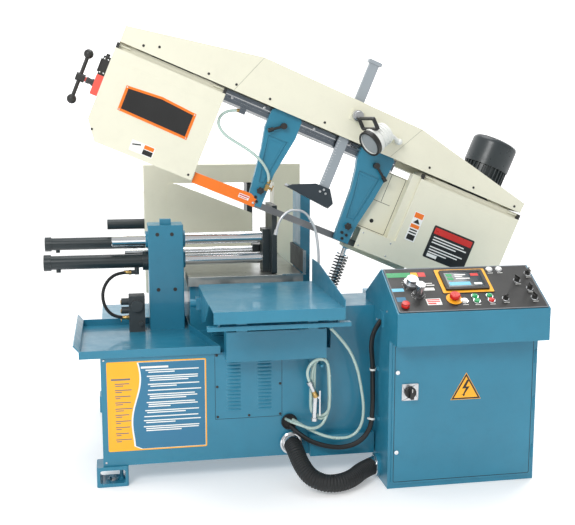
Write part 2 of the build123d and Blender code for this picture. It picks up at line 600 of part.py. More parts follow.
LEFT_LINE = [(-799, 69), (-743, -7), (-326, -7), (-326, 396), (-799, 396)]
LEFT_INSIDE = [(-796, 70), (-741, -4), (-329, -4), (-329, 393), (-796, 393)]
RIGHT_LINE = [(588, -13), (1078, -13), (1078, 392), (588, 392)]
RIGHT_INSIDE = [(591, -10), (1075, -10), (1075, 389), (591, 389)]
with BuildPart() as wheel_housings:
    for line, inside in ((LEFT_LINE, LEFT_INSIDE), (RIGHT_LINE, RIGHT_INSIDE)):
        outline(line, (HOUSING_FRONT, HOUSING_BACK))
        outline(inside, (HOUSING_FRONT - 1, HOUSING_BACK - PLATE), Mode.SUBTRACT)
    # open tops for the wheels, blade gaps in the facing walls, shaft holes
    slab((-790, -335), (388, 400), (HOUSING_FRONT - 1, HOUSING_BACK - PLATE), Mode.SUBTRACT)
    slab((600, 1066), (384, 400), (HOUSING_FRONT - 1, HOUSING_BACK - PLATE), Mode.SUBTRACT)
    slab((-332, -322), (-20, 60), (HOUSING_FRONT - 1, HOUSING_BACK - 40), Mode.SUBTRACT)
    slab((580, 596), (-20, 60), (HOUSING_FRONT - 1, HOUSING_BACK - 40), Mode.SUBTRACT)
    boss(IDLER_S, WHEEL_N, AXLE_R + 4, (-120, -100), Mode.SUBTRACT)
    boss(DRIVE_S, WHEEL_N, SHAFT_R + 4, (-120, -100), Mode.SUBTRACT)
    # recessed panel and step beside the right wheel
    slab((409, 588), (76, 343), (-180, -177))
    slab((550, 588), (76, 375), (-224, -180))
    slab((552, 586), (79, 372), (-221, -180), Mode.SUBTRACT)
    # blade exit channel, open below
    slab((424, 588), (-13, 76), (COVER_FRONT, -147))
    slab((421, 591), (-20, 73), (COVER_FRONT + PLATE, -150), Mode.SUBTRACT)
write(wheel_housings, "wheel_housings")


HINGE_Y, GROOVE_Y, GROOVE_HEIGHT = -218, -214, 24


def wheel_cover(line, inside, s, top):
    """Door over a band wheel: front plate, rim turned back, and a hinge in a groove along its top."""
    outline(line, (COVER_FRONT, COVER_BACK))
    outline(inside, (COVER_FRONT + PLATE, COVER_BACK + 1), Mode.SUBTRACT)
    low = top - GROOVE_HEIGHT
    slab((s[0] - 1, s[1] + 1), (low, top + 1), (COVER_FRONT - 1, GROOVE_Y), Mode.SUBTRACT)
    slab(s, (low - PLATE, top), (GROOVE_Y, GROOVE_Y + PLATE))
    slab(s, (low - PLATE, low), (COVER_FRONT, GROOVE_Y + PLATE))
    for middle in (s[0] + 34, s[1] - 34):
        rod(bow_point(middle - 24, top - 8, HINGE_Y), bow_point(middle + 24, top - 8, HINGE_Y), 5)


with BuildPart() as left_cover:
    wheel_cover(LEFT_LINE, LEFT_INSIDE, (-799, -326), 396)
    slab((-332, -322), (-20, 60), (COVER_FRONT + PLATE, COVER_BACK + 1), Mode.SUBTRACT)
write(left_cover, "left_cover")

with BuildPart() as right_cover:
    wheel_cover(RIGHT_LINE, RIGHT_INSIDE, (588, 1078), 392)
    slab((584, 596), (-20, 60), (COVER_FRONT + PLATE, COVER_BACK + 1), Mode.SUBTRACT)
    # round latch at the lower right corner
    boss(1052, 16, 11, (COVER_FRONT - 8, COVER_FRONT))
write(right_cover, "right_cover")

# ---------------------------------------------------------------- band wheels and blade
HOLE_CIRCLE_R, HOLE_R = 116, 40


def band_wheel(s):
    """Cast wheel: rim, web with round holes and hub."""
    boss(s, WHEEL_N, WHEEL_R, (WHEEL_FRONT, WHEEL_BACK))
    boss(s, WHEEL_N, WHEEL_R - 22, (WHEEL_FRONT - 1, WHEEL_FRONT + 11), Mode.SUBTRACT)
    boss(s, WHEEL_N, WHEEL_R - 22, (WHEEL_BACK - 11, WHEEL_BACK + 1), Mode.SUBTRACT)
    boss(s, WHEEL_N, 46, (WHEEL_FRONT, WHEEL_BACK + 16))
    with BuildSketch(bow(WHEEL_BACK)) as holes:
        with Locations((s, WHEEL_N)):
            with PolarLocations(HOLE_CIRCLE_R, 5):
                Circle(HOLE_R)
    extrude(holes.sketch, amount=WHEEL_BACK - WHEEL_FRONT, mode=Mode.SUBTRACT)


with BuildPart() as idler_wheel:
    band_wheel(IDLER_S)
    boss(IDLER_S, WHEEL_N, AXLE_R + RUNNING_FIT, (-200, -100), Mode.SUBTRACT)
write(idler_wheel, "idler_wheel")

with BuildPart() as drive_wheel:
    band_wheel(DRIVE_S)
    boss(DRIVE_S, WHEEL_N, SHAFT_R, (-150, -30))
write(drive_wheel, "drive_wheel")

# The band lies flat on the wheels and is turned upright between the guides
BAND_GAP = 0.3
LOWER_N = -BAND_GAP - BLADE_THICKNESS / 2
TWIST_LEFT, TWIST_RIGHT, TWIST_STEPS = (-326, -90), (415, 600), 6


def band_section(s, turn):
    """Cross-section of the band at s, turned by an angle about its run."""
    across = Vector(0, cos(turn), 0) + N_DIR * sin(turn)
    with BuildSketch(Plane(origin=bow_point(s, LOWER_N, BLADE_Y), x_dir=across, z_dir=S_DIR)) as section:
        Rectangle(BLADE_WIDTH, BLADE_THICKNESS)
    return section.sketch.face()


lower_run = [band_section(IDLER_S, 0)]
for (start, end), turns in ((TWIST_LEFT, (0, pi / 2)), (TWIST_RIGHT, (pi / 2, 0))):
    for step in range(TWIST_STEPS + 1):
        share = step / TWIST_STEPS
        lower_run.append(band_section(start + share * (end - start), turns[0] + share * (turns[1] - turns[0])))
lower_run.append(band_section(DRIVE_S, 0))

with BuildPart() as blade:
    loft(lower_run, ruled=True)
    span = DRIVE_S - IDLER_S
    with BuildSketch(bow(BLADE_Y + BLADE_WIDTH / 2)):
        with Locations(((IDLER_S + DRIVE_S) / 2, WHEEL_N)):
            SlotCenterToCenter(span, 2 * (WHEEL_R + BAND_GAP + BLADE_THICKNESS))
            SlotCenterToCenter(span, 2 * (WHEEL_R + BAND_GAP), mode=Mode.SUBTRACT)
            with Locations((0, -WHEEL_R)):
                Rectangle(span, 40, mode=Mode.SUBTRACT)
    extrude(amount=BLADE_WIDTH)
write(blade, "blade")

# ---------------------------------------------------------------- guide arms
LEFT_ARM = [
    (-120, 394), (15, 393), (17, 316), (3, 230), (-11, 144), (-11, -6), (-72, -6), (-102, 227), (-122, 315),
]
RIGHT_ARM = [
    (298, 335), (308, 300), (323, 213), (331, 67), (336, -11), (401, -12),
    (408, 79), (433, 204), (448, 308), (453, 372), (453, 394), (298, 394),
]
ARM_Y = (-211, -183)


def guide_arm(line, hook_s, foot_s):
    """Arm that hangs on the rail and holds the blade between two guides."""
    outline(line, ARM_Y)
    slab(hook_s, (390, 410), ARM_Y)
    slab(hook_s, (398.5, 410), (ARM_Y[1], -176))
    slab(foot_s, (24, 60), (ARM_Y[1], -146))
    slab(foot_s, (-8, 24), (ARM_Y[1], -173.9))
    slab(foot_s, (-8, 24), (-172.1, -152))


with BuildPart() as left_arm:
    guide_arm(LEFT_ARM, (-112, 10), (-66, -17))
    # sunk pocket in the front face
    pocket = [(-96, 290), (-8, 290), (-24, 180), (-34, 90), (-58, 90), (-78, 180)]
    outline(pocket, (ARM_Y[0] - 1, ARM_Y[0] + 6), Mode.SUBTRACT)
    # tap of the coolant hose and the small guide knob
    slab((-28, -16), (70, 100), (-232, ARM_Y[0] + 3))
    boss(-42, 60, 12, (-226, ARM_Y[0]))
write(left_arm, "left_arm")

with BuildPart() as right_arm:
    guide_arm(RIGHT_ARM, (304, 448), (342, 396))
    pocket = [(325, 300), (424, 300), (408, 190), (388, 90), (350, 90), (342, 190)]
    outline(pocket, (ARM_Y[0] - 1, ARM_Y[0] + 6), Mode.SUBTRACT)
    boss(368, 60, 12, (-226, ARM_Y[0]))
write(right_arm, "right_arm")


def clamp_lever(s, n, tip_s, tip_n):
    """Clamping lever: hub, arm and grip."""
    hub, tip = bow_point(s, n, -226), bow_point(tip_s, tip_n, -233)
    reach = (tip - hub).normalized()
    boss(s, n, 13, (-236, ARM_Y[0] - 0.3))
    rod(hub, tip, 5.5)
    rod(tip - reach * 16, tip + reach * 6, 9)


LEFT_LEVER, RIGHT_LEVER = (-51, 345), (384, 344)
with BuildPart() as left_lever:
    clamp_lever(*LEFT_LEVER, -102, 307)
write(left_lever, "left_lever")

with BuildPart() as right_lever:
    clamp_lever(*RIGHT_LEVER, 440, 300)
write(right_lever, "right_lever")

GUARD_Y = (-214, -211)
with BuildPart() as blade_guard:
    outline([(-320, -15), (-40, -15), (-40, 20), (-70, 35), (-320, 30)], GUARD_Y)
    slab((-320, -126), (27, 30), (GUARD_Y[1], -160))
    boss(-50, 2, 5, (-218, GUARD_Y[0]))
write(blade_guard, "blade_guard")

# ---------------------------------------------------------------- height bar, lamp
BAR_S = (188, 231)
with BuildPart() as height_bar:
    slab(BAR_S, (112, 730), (-216, -200))
    slab((180, 240), (730, 745), (-222, -194))
    # shoe: plate at the foot of the bar with a lip turned back over the work
    outline([(60, 122), (74, 134), (168, 175), (234, 175), (268, 124), (256, 102)], (-224, -216))
    outline([(60, 122), (256, 102), (256, 110), (62, 130)], (-216, -148))
write(height_bar, "height_bar")

KNOB_S, KNOB_N = 215, 502
with BuildPart() as bar_knob:
    boss(KNOB_S, KNOB_N, 9, (-258, -250.3))
    boss(KNOB_S, KNOB_N, 22.5, (-278, -258))
write(bar_knob, "bar_knob")

LAMP_PIVOT = bow_point(420, 470, -256.3)
LAMP_CENTRE = Vector(376, -330, 1344)
LAMP_AXIS = Vector(-0.8, -0.35, -0.49).normalized()
LAMP_R = 55
with BuildPart() as work_lamp:
    back = LAMP_CENTRE - LAMP_AXIS * 62
    rod(tuple(back), tuple(LAMP_CENTRE), LAMP_R - 9)
    rod(tuple(LAMP_CENTRE), tuple(LAMP_CENTRE + LAMP_AXIS * 34), LAMP_R)
    rod(tuple(LAMP_CENTRE + LAMP_AXIS * 28), tuple(LAMP_CENTRE + LAMP_AXIS * 40), LAMP_R - 8, Mode.SUBTRACT)
    rod(tuple(back - LAMP_AXIS * 18), tuple(back), 16)
    elbow = LAMP_PIVOT + Vector(0, -24, 0)
    rod(tuple(LAMP_PIVOT), tuple(elbow), 13)
    rod(tuple(elbow), tuple(back - LAMP_AXIS * 10), 8)
    ball(elbow, 13)
write(work_lamp, "work_lamp")

# ---------------------------------------------------------------- drive and tension
GEAR_S, GEAR_N, GEAR_Y = (755, 1060), (128, 300), (-42, 190)
with BuildPart() as gearbox:
    slab(GEAR_S, GEAR_N, GEAR_Y)
    fillet(gearbox.edges().filter_by(Axis.Y), 24)
    boss(DRIVE_S, WHEEL_N, 74, (GEAR_Y[1], GEAR_Y[1] + 14))
    boss(DRIVE_S, WHEEL_N, SHAFT_R + 2, (-60, -24), Mode.SUBTRACT)
write(gearbox, "gearbox")

MOTOR_S, MOTOR_Y, MOTOR_LOW, COWL_LOW, MOTOR_TOP = 971, 99, 300, 560, 690
MOTOR_R, FIN_DEPTH, FIN_COUNT = 102, 11, 30
with BuildPart() as motor:
    foot = Plane(origin=bow_point(MOTOR_S, MOTOR_LOW, MOTOR_Y), x_dir=S_DIR, z_dir=N_DIR)
    disc(foot, 0, 0, MOTOR_R - 2, 14)
    disc(foot.offset(14), 0, 0, MOTOR_R - FIN_DEPTH, COWL_LOW - MOTOR_LOW - 14)
    with BuildSketch(foot.offset(14)):
        with PolarLocations(MOTOR_R - FIN_DEPTH / 2 - 1, FIN_COUNT):
            Rectangle(FIN_DEPTH + 2, 4)
    extrude(amount=COWL_LOW - MOTOR_LOW - 14)
    disc(foot.offset(COWL_LOW - MOTOR_LOW), 0, 0, MOTOR_R + 4, MOTOR_TOP - COWL_LOW)
    fillet(motor.edges().filter_by(GeomType.CIRCLE).sort_by(Axis.Z)[-1], 26)
    # terminal box at the back
    with BuildSketch(foot.offset(110)):
        with Locations((0, MOTOR_R + 8)):
            Rectangle(90, 50)
    extrude(amount=90)
write(motor, "motor")

SCREW_N, SCREW_Y = 212, -85
with BuildPart() as tension_unit:
    slab((-832, -799), (165, 250), (-118, -56))
    slab((-830, -802), (250, 330), (-112, -70))
    rod(bow_point(-832, SCREW_N, SCREW_Y), bow_point(-870, SCREW_N, SCREW_Y), 10)
    rod(bow_point(-799, SCREW_N, SCREW_Y), bow_point(-621, SCREW_N, SCREW_Y), 14)
write(tension_unit, "tension_unit")

HANDLE_S, HANDLE_LOW, HANDLE_HIGH = -891, 117, 313
with BuildPart() as tension_handle:
    rod(bow_point(-908, SCREW_N, SCREW_Y), bow_point(-870.3, SCREW_N, SCREW_Y), 17)
    rod(bow_point(HANDLE_S, HANDLE_LOW, SCREW_Y), bow_point(HANDLE_S, HANDLE_HIGH, SCREW_Y), 8)
    for n in (HANDLE_LOW, HANDLE_HIGH):
        ball(bow_point(HANDLE_S, n, SCREW_Y), 20)
write(tension_handle, "tension_handle")

# ---------------------------------------------------------------- head lift
LUG = bow_point(LUG_S, LUG_N, LIFT_Y)
LIFT_FOOT = Vector(LIFT_X, LIFT_Y, LIFT_Z)
LIFT_DIR = (LUG - LIFT_FOOT).normalized()
LIFT_LENGTH = (LUG - LIFT_FOOT).length
LIFT_PLANE = Plane(origin=LIFT_FOOT, x_dir=(0, 1, 0), z_dir=LIFT_DIR)
BARREL_R, BARREL_TOP, LIFT_ROD_R, EYE_R, EYE_HOLE_R = 22, 270, 11, 24, 15
COLLAR_LOW = 54
with BuildPart() as lift_barrel:
    disc(LIFT_PLANE.offset(18), 0, 0, BARREL_R, BARREL_TOP - 18)
    disc(front(LIFT_Y + 17.7), LIFT_X, LIFT_Z, 24, 35.4)
    rod((LIFT_X, LIFT_Y + 28, LIFT_Z), (LIFT_X, LIFT_Y - 28, LIFT_Z), 8)
    disc(LIFT_PLANE.offset(60), 0, 0, LIFT_ROD_R + RUNNING_FIT, BARREL_TOP, Mode.SUBTRACT)
write(lift_barrel, "lift_barrel")

with BuildPart() as lift_rod:
    disc(LIFT_PLANE.offset(220), 0, 0, LIFT_ROD_R, LIFT_LENGTH - 220 - EYE_R + 2)
    disc(front(LIFT_Y + 8), LUG.X, LUG.Z, EYE_R, 16)
    disc(front(LIFT_Y + 20), LUG.X, LUG.Z, EYE_HOLE_R, 40, Mode.SUBTRACT)
    disc(LIFT_PLANE.offset(LIFT_LENGTH - COLLAR_LOW), 0, 0, 28, 6)
write(lift_rod, "lift_rod")

SPRING_LENGTH, SPRING_TURNS, SPRING_R, SPRING_WIRE_R = 182, 13, 26.5, 3
with BuildPart() as lift_spring:
    spring_low = LIFT_LENGTH - COLLAR_LOW - 1 - SPRING_WIRE_R - SPRING_LENGTH
    with BuildLine() as coil:
        Helix(
            pitch=SPRING_LENGTH / SPRING_TURNS,
            height=SPRING_LENGTH,
            radius=SPRING_R,
            center=tuple(LIFT_FOOT + LIFT_DIR * spring_low),
            direction=tuple(LIFT_DIR),
        )
    with BuildSketch(Plane(origin=coil.line @ 0, z_dir=coil.line % 0)):
        Circle(SPRING_WIRE_R)
    sweep(is_frenet=True)
write(lift_spring, "lift_spring")

# ---------------------------------------------------------------- hoses and cables
CONDUIT_POINTS = [
    (-11, -530, 135), (-10, -590, 134), (0, -650, 96), (25, -715, 60), (78, -752, 44),
    (140, -750, 42), (200, -712, 43), (252, -654, 50), (315, -612, 52),
]
LOOM_POINTS = [
    (324, -634, 653), (294, -634, 612), (288, -622, 545), (302, -605, 475), (305, -598, 410),
    (305, -606, 335), (303, -612, 270), (296, -612, 205), (256, -606, 150), (194, -600, 128),
    (130, -596, 134), (68, -586, 152), (18, -562, 178), (-16, -524, 206),
]
DRAIN_POINTS = [
    (126, -617, 625), (190, -616, 560), (235, -612, 470), (256, -604, 380), (270, -602, 290),
    (262, -602, 215), (222, -604, 172), (160, -604, 168), (100, -600, 184), (42, -580, 210), (-6, -524, 232),
]
WASH_POINTS = [
    (-34, -524, 236), (-26, -568, 240), (12, -600, 232), (54, -608, 216), (90, -596, 214), (98, -580, 242.5),
]
VISE_HOSE_POINTS = [
    (-642, -76, 582), (-686, -76, 582), (-727, -74, 606), (-749, -67, 651),
    (-749, -55, 701), (-724, -38, 745), (-680, -24, 770), (-631, -20, 770),
]
COOLANT_POINTS = [
    (-240, 336, -191), (-282, 322, -197), (-311, 286, -204), (-308, 248, -211), (-272, 220, -219),
    (-218, 208, -228), (-158, 200, -235), (-100, 183, -238), (-54, 155, -236), (-30, 128, -230), (-22, 102, -226),
]
hose("conduit_hose", CONDUIT_POINTS, 70)
hose("control_loom", LOOM_POINTS, 20)
hose("drain_hose", DRAIN_POINTS, 12)
hose("wash_hose", WASH_POINTS, 12)
hose("vise_hose", VISE_HOSE_POINTS, 14)
hose("coolant_hose", [tuple(bow_point(s, n, y)) for s, n, y in COOLANT_POINTS], 12)

# Hank of wash hose hanging on its hook, and the spray gun at its end
HANK_X, HANK_LOW, HANK_HIGH, HANK_WIDTH, HANK_BAND = 97, 243, 501, 90, 26
with BuildPart() as wash_coil:
    with BuildSketch(front(-567)):
        with Locations((HANK_X, (HANK_LOW + HANK_HIGH) / 2)):
            SlotOverall(HANK_HIGH - HANK_LOW, HANK_WIDTH, rotation=90)
            inner_height, inner_width = HANK_HIGH - HANK_LOW - 2 * HANK_BAND, HANK_WIDTH - 2 * HANK_BAND
            SlotOverall(inner_height, inner_width, rotation=90, mode=Mode.SUBTRACT)
    extrude(amount=26)
write(wash_coil, "wash_coil")

with BuildPart() as spray_gun:
    rod((66, -607, 262), (70, -607, 352), 10)
    rod((70, -607, 352), (50, -607, 398), 9)
    rod((66, -607, 262), (66, -607, 250), 13)
    rod((50, -607, 398), (44, -607, 410), 12)
    block((84, 90), (-611, -603), (270, 372))
    block((60, 90), (-611, -603), (340, 350))
write(spray_gun, "spray_gun")
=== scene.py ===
import json
import random
from math import cos, pi, radians, sin

import bmesh
import bpy
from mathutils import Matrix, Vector


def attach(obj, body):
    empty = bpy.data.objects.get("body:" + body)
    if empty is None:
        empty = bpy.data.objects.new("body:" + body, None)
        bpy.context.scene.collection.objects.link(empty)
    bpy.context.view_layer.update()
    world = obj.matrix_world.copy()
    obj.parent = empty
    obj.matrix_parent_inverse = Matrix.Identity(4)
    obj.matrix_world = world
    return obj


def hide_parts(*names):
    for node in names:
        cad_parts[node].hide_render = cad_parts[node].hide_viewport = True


# Looks of a horizontal pivot-bow band saw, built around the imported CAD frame. Metres, +Z up.

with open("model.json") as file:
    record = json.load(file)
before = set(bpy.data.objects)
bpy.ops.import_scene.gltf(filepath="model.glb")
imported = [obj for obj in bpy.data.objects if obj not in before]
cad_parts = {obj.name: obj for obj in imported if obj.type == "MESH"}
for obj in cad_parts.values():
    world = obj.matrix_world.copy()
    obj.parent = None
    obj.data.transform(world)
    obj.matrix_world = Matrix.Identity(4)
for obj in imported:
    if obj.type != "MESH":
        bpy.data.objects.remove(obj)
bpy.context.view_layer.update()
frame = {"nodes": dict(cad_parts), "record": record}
NODES = frame["nodes"]
MM = 0.001
random.seed(7)

# ---------------------------------------------------------------- planes (millimetres in, metres out)
LEAN = radians(22.6)
S_DIR = Vector((cos(LEAN), 0, -sin(LEAN)))
N_DIR = Vector((sin(LEAN), 0, cos(LEAN)))
X_DIR, Y_DIR, Z_DIR = Vector((1, 0, 0)), Vector((0, 1, 0)), Vector((0, 0, 1))
BOW = (Vector((-72.2, 0, 1061.4)), S_DIR, N_DIR, -Y_DIR)
FRONT = (Vector((0, 0, 0)), X_DIR, Z_DIR, -Y_DIR)
RIGHT = (Vector((0, 0, 0)), Y_DIR, Z_DIR, X_DIR)
TOP = (Vector((0, 0, 0)), X_DIR, Y_DIR, Z_DIR)
PANEL_UP = Vector((0, 231, 131)).normalized()
PANEL = (Vector((632, -725.5, 784.5)), X_DIR, PANEL_UP, Vector((0, -PANEL_UP.z, PANEL_UP.y)))


def at(plane, x, y, w=0.0):
    """Point of a plane, w out along its normal, in metres."""
    origin, across, up, out = plane
    return (origin + across * x + up * y + out * w) * MM


def plane_at(origin, out, up_hint=Z_DIR):
    """Plane through a point given in millimetres, facing out."""
    out = Vector(out).normalized()
    across = up_hint.cross(out)
    if across.length < 1e-4:
        across = X_DIR.copy()
    across.normalize()
    return (Vector(origin), across, out.cross(across), out)


# ---------------------------------------------------------------- materials
def srgb(r, g, b):
    """Linear colour of an 8-bit sRGB colour."""
    lin = []
    for c in (r, g, b):
        c /= 255
        lin.append(c / 12.92 if c <= 0.04045 else ((c + 0.055) / 1.055) ** 2.4)
    return (*lin, 1)


def link(tree, a, b):
    tree.links.new(a, b)


def noise(tree, coords, scale, detail=3.0, rough=0.55):
    n = tree.nodes.new("ShaderNodeTexNoise")
    n.inputs["Scale"].default_value = scale
    n.inputs["Detail"].default_value = detail
    n.inputs["Roughness"].default_value = rough
    link(tree, coords, n.inputs["Vector"])
    return n.outputs["Fac"]


def remap(tree, value, low, high, to_low, to_high):
    m = tree.nodes.new("ShaderNodeMapRange")
    m.inputs["From Min"].default_value = low
    m.inputs["From Max"].default_value = high
    m.inputs["To Min"].default_value = to_low
    m.inputs["To Max"].default_value = to_high
    link(tree, value, m.inputs["Value"])
    return m.outputs["Result"]


def mix(tree, factor, a, b):
    """Colour between a and b, where each is a colour or a socket."""
    m = tree.nodes.new("ShaderNodeMix")
    m.data_type = "RGBA"
    link(tree, factor, m.inputs["Factor"])
    for socket, value in ((m.inputs[6], a), (m.inputs[7], b)):
        if isinstance(value, tuple):
            socket.default_value = value
        else:
            link(tree, value, socket)
    return m.outputs[2]


def shade(color, k):
    return (color[0] * k, color[1] * k, color[2] * k, 1)


def finish_of(name, color, rough=0.4, metal=0.0, bump=0.15, grain=600.0, grain_depth=0.0002,
        stretch=(1, 1, 1), turn=0.0, vary=0.06, rough_vary=0.08, edge_wear_and_highlight=None, edge_wear_and_highlight_amount=0.5, grime=0.0,
        coat=0.0, transmission=0.0, specular=0.5):
    """Procedural material: cloudy colour, lighter edges (wear, and a painted edge highlight on the coloured
    paints), grime streaks, roughness variation and fine bump.
    """
    mat = bpy.data.materials.new(name)
    mat.use_nodes = True
    mat.diffuse_color = color
    tree = mat.node_tree
    tree.nodes.clear()
    out = tree.nodes.new("ShaderNodeOutputMaterial")
    shader = tree.nodes.new("ShaderNodeBsdfPrincipled")
    link(tree, shader.outputs[0], out.inputs[0])
    coords = tree.nodes.new("ShaderNodeTexCoord").outputs["Object"]
    mapping = tree.nodes.new("ShaderNodeMapping")
    mapping.inputs["Rotation"].default_value = (0, turn, 0)
    mapping.inputs["Scale"].default_value = stretch
    link(tree, coords, mapping.inputs["Vector"])
    grain_coords = mapping.outputs[0]
    clouds = noise(tree, coords, 5.0, 4.0)
    base = mix(tree, remap(tree, clouds, 0.3, 0.7, 0, 1), shade(color, 1 - vary), shade(color, 1 + vary))
    if grime:
        streaks = noise(tree, coords, 22.0, 5.0, 0.7)
        base = mix(tree, remap(tree, streaks, 0.5, 0.78, 0, grime), base, shade(color, 0.42))
    # Lighter tint on edges: real wear on metal and plastic, a painted edge highlight on teal, cream, orange
    # and red paint.
    if edge_wear_and_highlight:
        bevel = tree.nodes.new("ShaderNodeBevel")
        bevel.samples = 4
        bevel.inputs["Radius"].default_value = 0.0022
        geometry = tree.nodes.new("ShaderNodeNewGeometry")
        dot = tree.nodes.new("ShaderNodeVectorMath")
        dot.operation = "DOT_PRODUCT"
        link(tree, bevel.outputs[0], dot.inputs[0])
        link(tree, geometry.outputs["Normal"], dot.inputs[1])
        edge = remap(tree, dot.outputs["Value"], 0.80, 0.985, 1, 0)
        edge_breakup = remap(tree, noise(tree, coords, 60.0, 5.0, 0.7), 0.42, 0.62, 0.15, 1)
        both = tree.nodes.new("ShaderNodeMath")
        both.operation = "MULTIPLY"
        link(tree, edge, both.inputs[0])
        link(tree, edge_breakup, both.inputs[1])
        base = mix(tree, remap(tree, both.outputs[0], 0, 1, 0, edge_wear_and_highlight_amount), base, edge_wear_and_highlight)
    link(tree, base, shader.inputs["Base Color"])
    fine = noise(tree, grain_coords, grain, 3.0)
    smudge = noise(tree, coords, 14.0, 4.0, 0.65)
    link(tree, remap(tree, smudge, 0.3, 0.7, rough - rough_vary, rough + rough_vary),
        shader.inputs["Roughness"])
    dents = tree.nodes.new("ShaderNodeBump")
    dents.inputs["Strength"].default_value = bump
    dents.inputs["Distance"].default_value = grain_depth
    link(tree, fine, dents.inputs["Height"])
    link(tree, dents.outputs[0], shader.inputs["Normal"])
    shader.inputs["Metallic"].default_value = metal
    shader.inputs["Coat Weight"].default_value = coat
    shader.inputs["Transmission Weight"].default_value = transmission
    shader.inputs["Specular IOR Level"].default_value = specular
    return mat


def card_of(name, color, rough=0.45, vary=0.03):
    """Flat printed or moulded surface."""
    return finish_of(name, color, rough, bump=0.1, grain=500, vary=vary)


TEAL, CREAM = srgb(36, 122, 150), srgb(224, 222, 202)
# Teal: its lighter edge tint is a painted highlight along the edges.
teal = finish_of("teal_hammered", TEAL, 0.36, bump=0.35, grain=260, grain_depth=0.0004,
    edge_wear_and_highlight=srgb(120, 190, 210), edge_wear_and_highlight_amount=0.5, grime=0.12, coat=0.2)
# Cream: its lighter edge tint is a painted highlight along the edges.
cream = finish_of("cream_satin", CREAM, 0.38, bump=0.22, grain=420, grain_depth=0.0003, vary=0.025,
    edge_wear_and_highlight=srgb(244, 243, 232), edge_wear_and_highlight_amount=0.5, grime=0.05, coat=0.1)
cream_dark = finish_of("cream_shadowed", srgb(170, 172, 152), 0.42, bump=0.25, grain=420, grime=0.15)
# Orange: its lighter edge tint is a painted highlight along the edges.
orange = finish_of("orange_satin", srgb(240, 118, 22), 0.4, bump=0.2, grain=400, vary=0.04,
    edge_wear_and_highlight=srgb(255, 190, 110), edge_wear_and_highlight_amount=0.5)
black = finish_of("black_satin", srgb(32, 42, 45), 0.36, bump=0.25, grain=420, edge_wear_and_highlight=srgb(96, 104, 106),
    edge_wear_and_highlight_amount=0.6, grime=0.1)
grey = finish_of("grey_satin", srgb(150, 158, 164), 0.38, bump=0.2, grain=420, edge_wear_and_highlight=srgb(175, 182, 186),
    edge_wear_and_highlight_amount=0.6)
steel = finish_of("ground_steel", srgb(178, 181, 180), 0.3, 1.0, bump=0.3, grain=240, stretch=(0.06, 1, 1),
    turn=-LEAN, vary=0.12, edge_wear_and_highlight=srgb(225, 226, 226), edge_wear_and_highlight_amount=0.6, grime=0.12)
bed_steel = finish_of("scraped_bed", srgb(160, 163, 160), 0.34, 0.9, bump=0.35, grain=180,
    stretch=(1, 0.05, 1), vary=0.15, edge_wear_and_highlight=srgb(225, 226, 226), edge_wear_and_highlight_amount=0.6, grime=0.2)
band_steel = finish_of("band_steel", srgb(120, 122, 124), 0.34, 1.0, bump=0.25, grain=300,
    stretch=(0.05, 1, 1), turn=-LEAN, vary=0.12, edge_wear_and_highlight=srgb(205, 206, 208), grime=0.15)
chrome = finish_of("hard_chrome", srgb(222, 224, 226), 0.12, 1.0, bump=0.05, grain=300, stretch=(1, 1, 1),
    vary=0.03, rough_vary=0.05)
rail_steel = finish_of("guide_rail_steel", srgb(112, 120, 128), 0.28, 1.0, bump=0.3, grain=240,
    stretch=(0.06, 1, 1), turn=-LEAN, vary=0.18, edge_wear_and_highlight=srgb(225, 226, 226), edge_wear_and_highlight_amount=0.8, grime=0.2)
shoe_black = finish_of("shoe_black", srgb(34, 46, 54), 0.35, bump=0.3, grain=420, edge_wear_and_highlight=srgb(110, 120, 126),
    edge_wear_and_highlight_amount=0.6, grime=0.1)
iron = finish_of("cast_iron_paint", srgb(62, 68, 70), 0.55, 0.2, bump=0.8, grain=330, grain_depth=0.0007,
    vary=0.12, edge_wear_and_highlight=srgb(150, 152, 152), edge_wear_and_highlight_amount=0.5, grime=0.2)
motor_paint = finish_of("motor_enamel", srgb(44, 51, 54), 0.32, bump=0.3, grain=380,
    edge_wear_and_highlight=srgb(120, 126, 128), edge_wear_and_highlight_amount=0.6, grime=0.12)
rubber = finish_of("hose_rubber", srgb(30, 32, 33), 0.55, bump=0.5, grain=500, vary=0.15, specular=0.4)
vinyl = finish_of("clear_vinyl", srgb(196, 219, 210), 0.22, bump=0.12, grain=300, vary=0.05,
    transmission=0.28, coat=0.3)
white_plastic = finish_of("white_plastic", srgb(222, 224, 220), 0.3, bump=0.12, grain=500, vary=0.02)
black_plastic = finish_of("black_plastic", srgb(36, 36, 35), 0.42, bump=0.4, grain=900, vary=0.08,
    edge_wear_and_highlight=srgb(78, 78, 76), edge_wear_and_highlight_amount=0.4)
red_plastic = card_of("red_plastic", srgb(205, 38, 32), 0.28, 0.05)
# Red paint: its lighter edge tint is a painted highlight along the edges.
red_paint = finish_of("red_enamel", srgb(232, 92, 80), 0.35, bump=0.25, grain=420, vary=0.06,
    edge_wear_and_highlight=srgb(245, 180, 170))
green_plastic = card_of("green_plastic", srgb(16, 150, 84), 0.28, 0.05)
alloy = finish_of("turned_alloy", srgb(196, 198, 200), 0.28, 1.0, bump=0.25, grain=500, stretch=(1, 1, 0.1),
    vary=0.06, edge_wear_and_highlight=srgb(235, 236, 238))
brass = finish_of("brass", srgb(176, 146, 92), 0.32, 1.0, bump=0.2, grain=400, vary=0.1,
    edge_wear_and_highlight=srgb(238, 208, 150))
pipe_alloy = finish_of("segmented_pipe", srgb(200, 202, 204), 0.35, 0.7, bump=0.2, grain=400, vary=0.05)
yellow = card_of("yellow_card", srgb(252, 178, 38), 0.45, 0.03)
blue = card_of("blue_card", srgb(48, 116, 150), 0.45, 0.04)
light_blue = card_of("light_blue_card", srgb(120, 196, 226), 0.45, 0.03)
white_card = card_of("white_card", srgb(240, 240, 236), 0.45, 0.02)
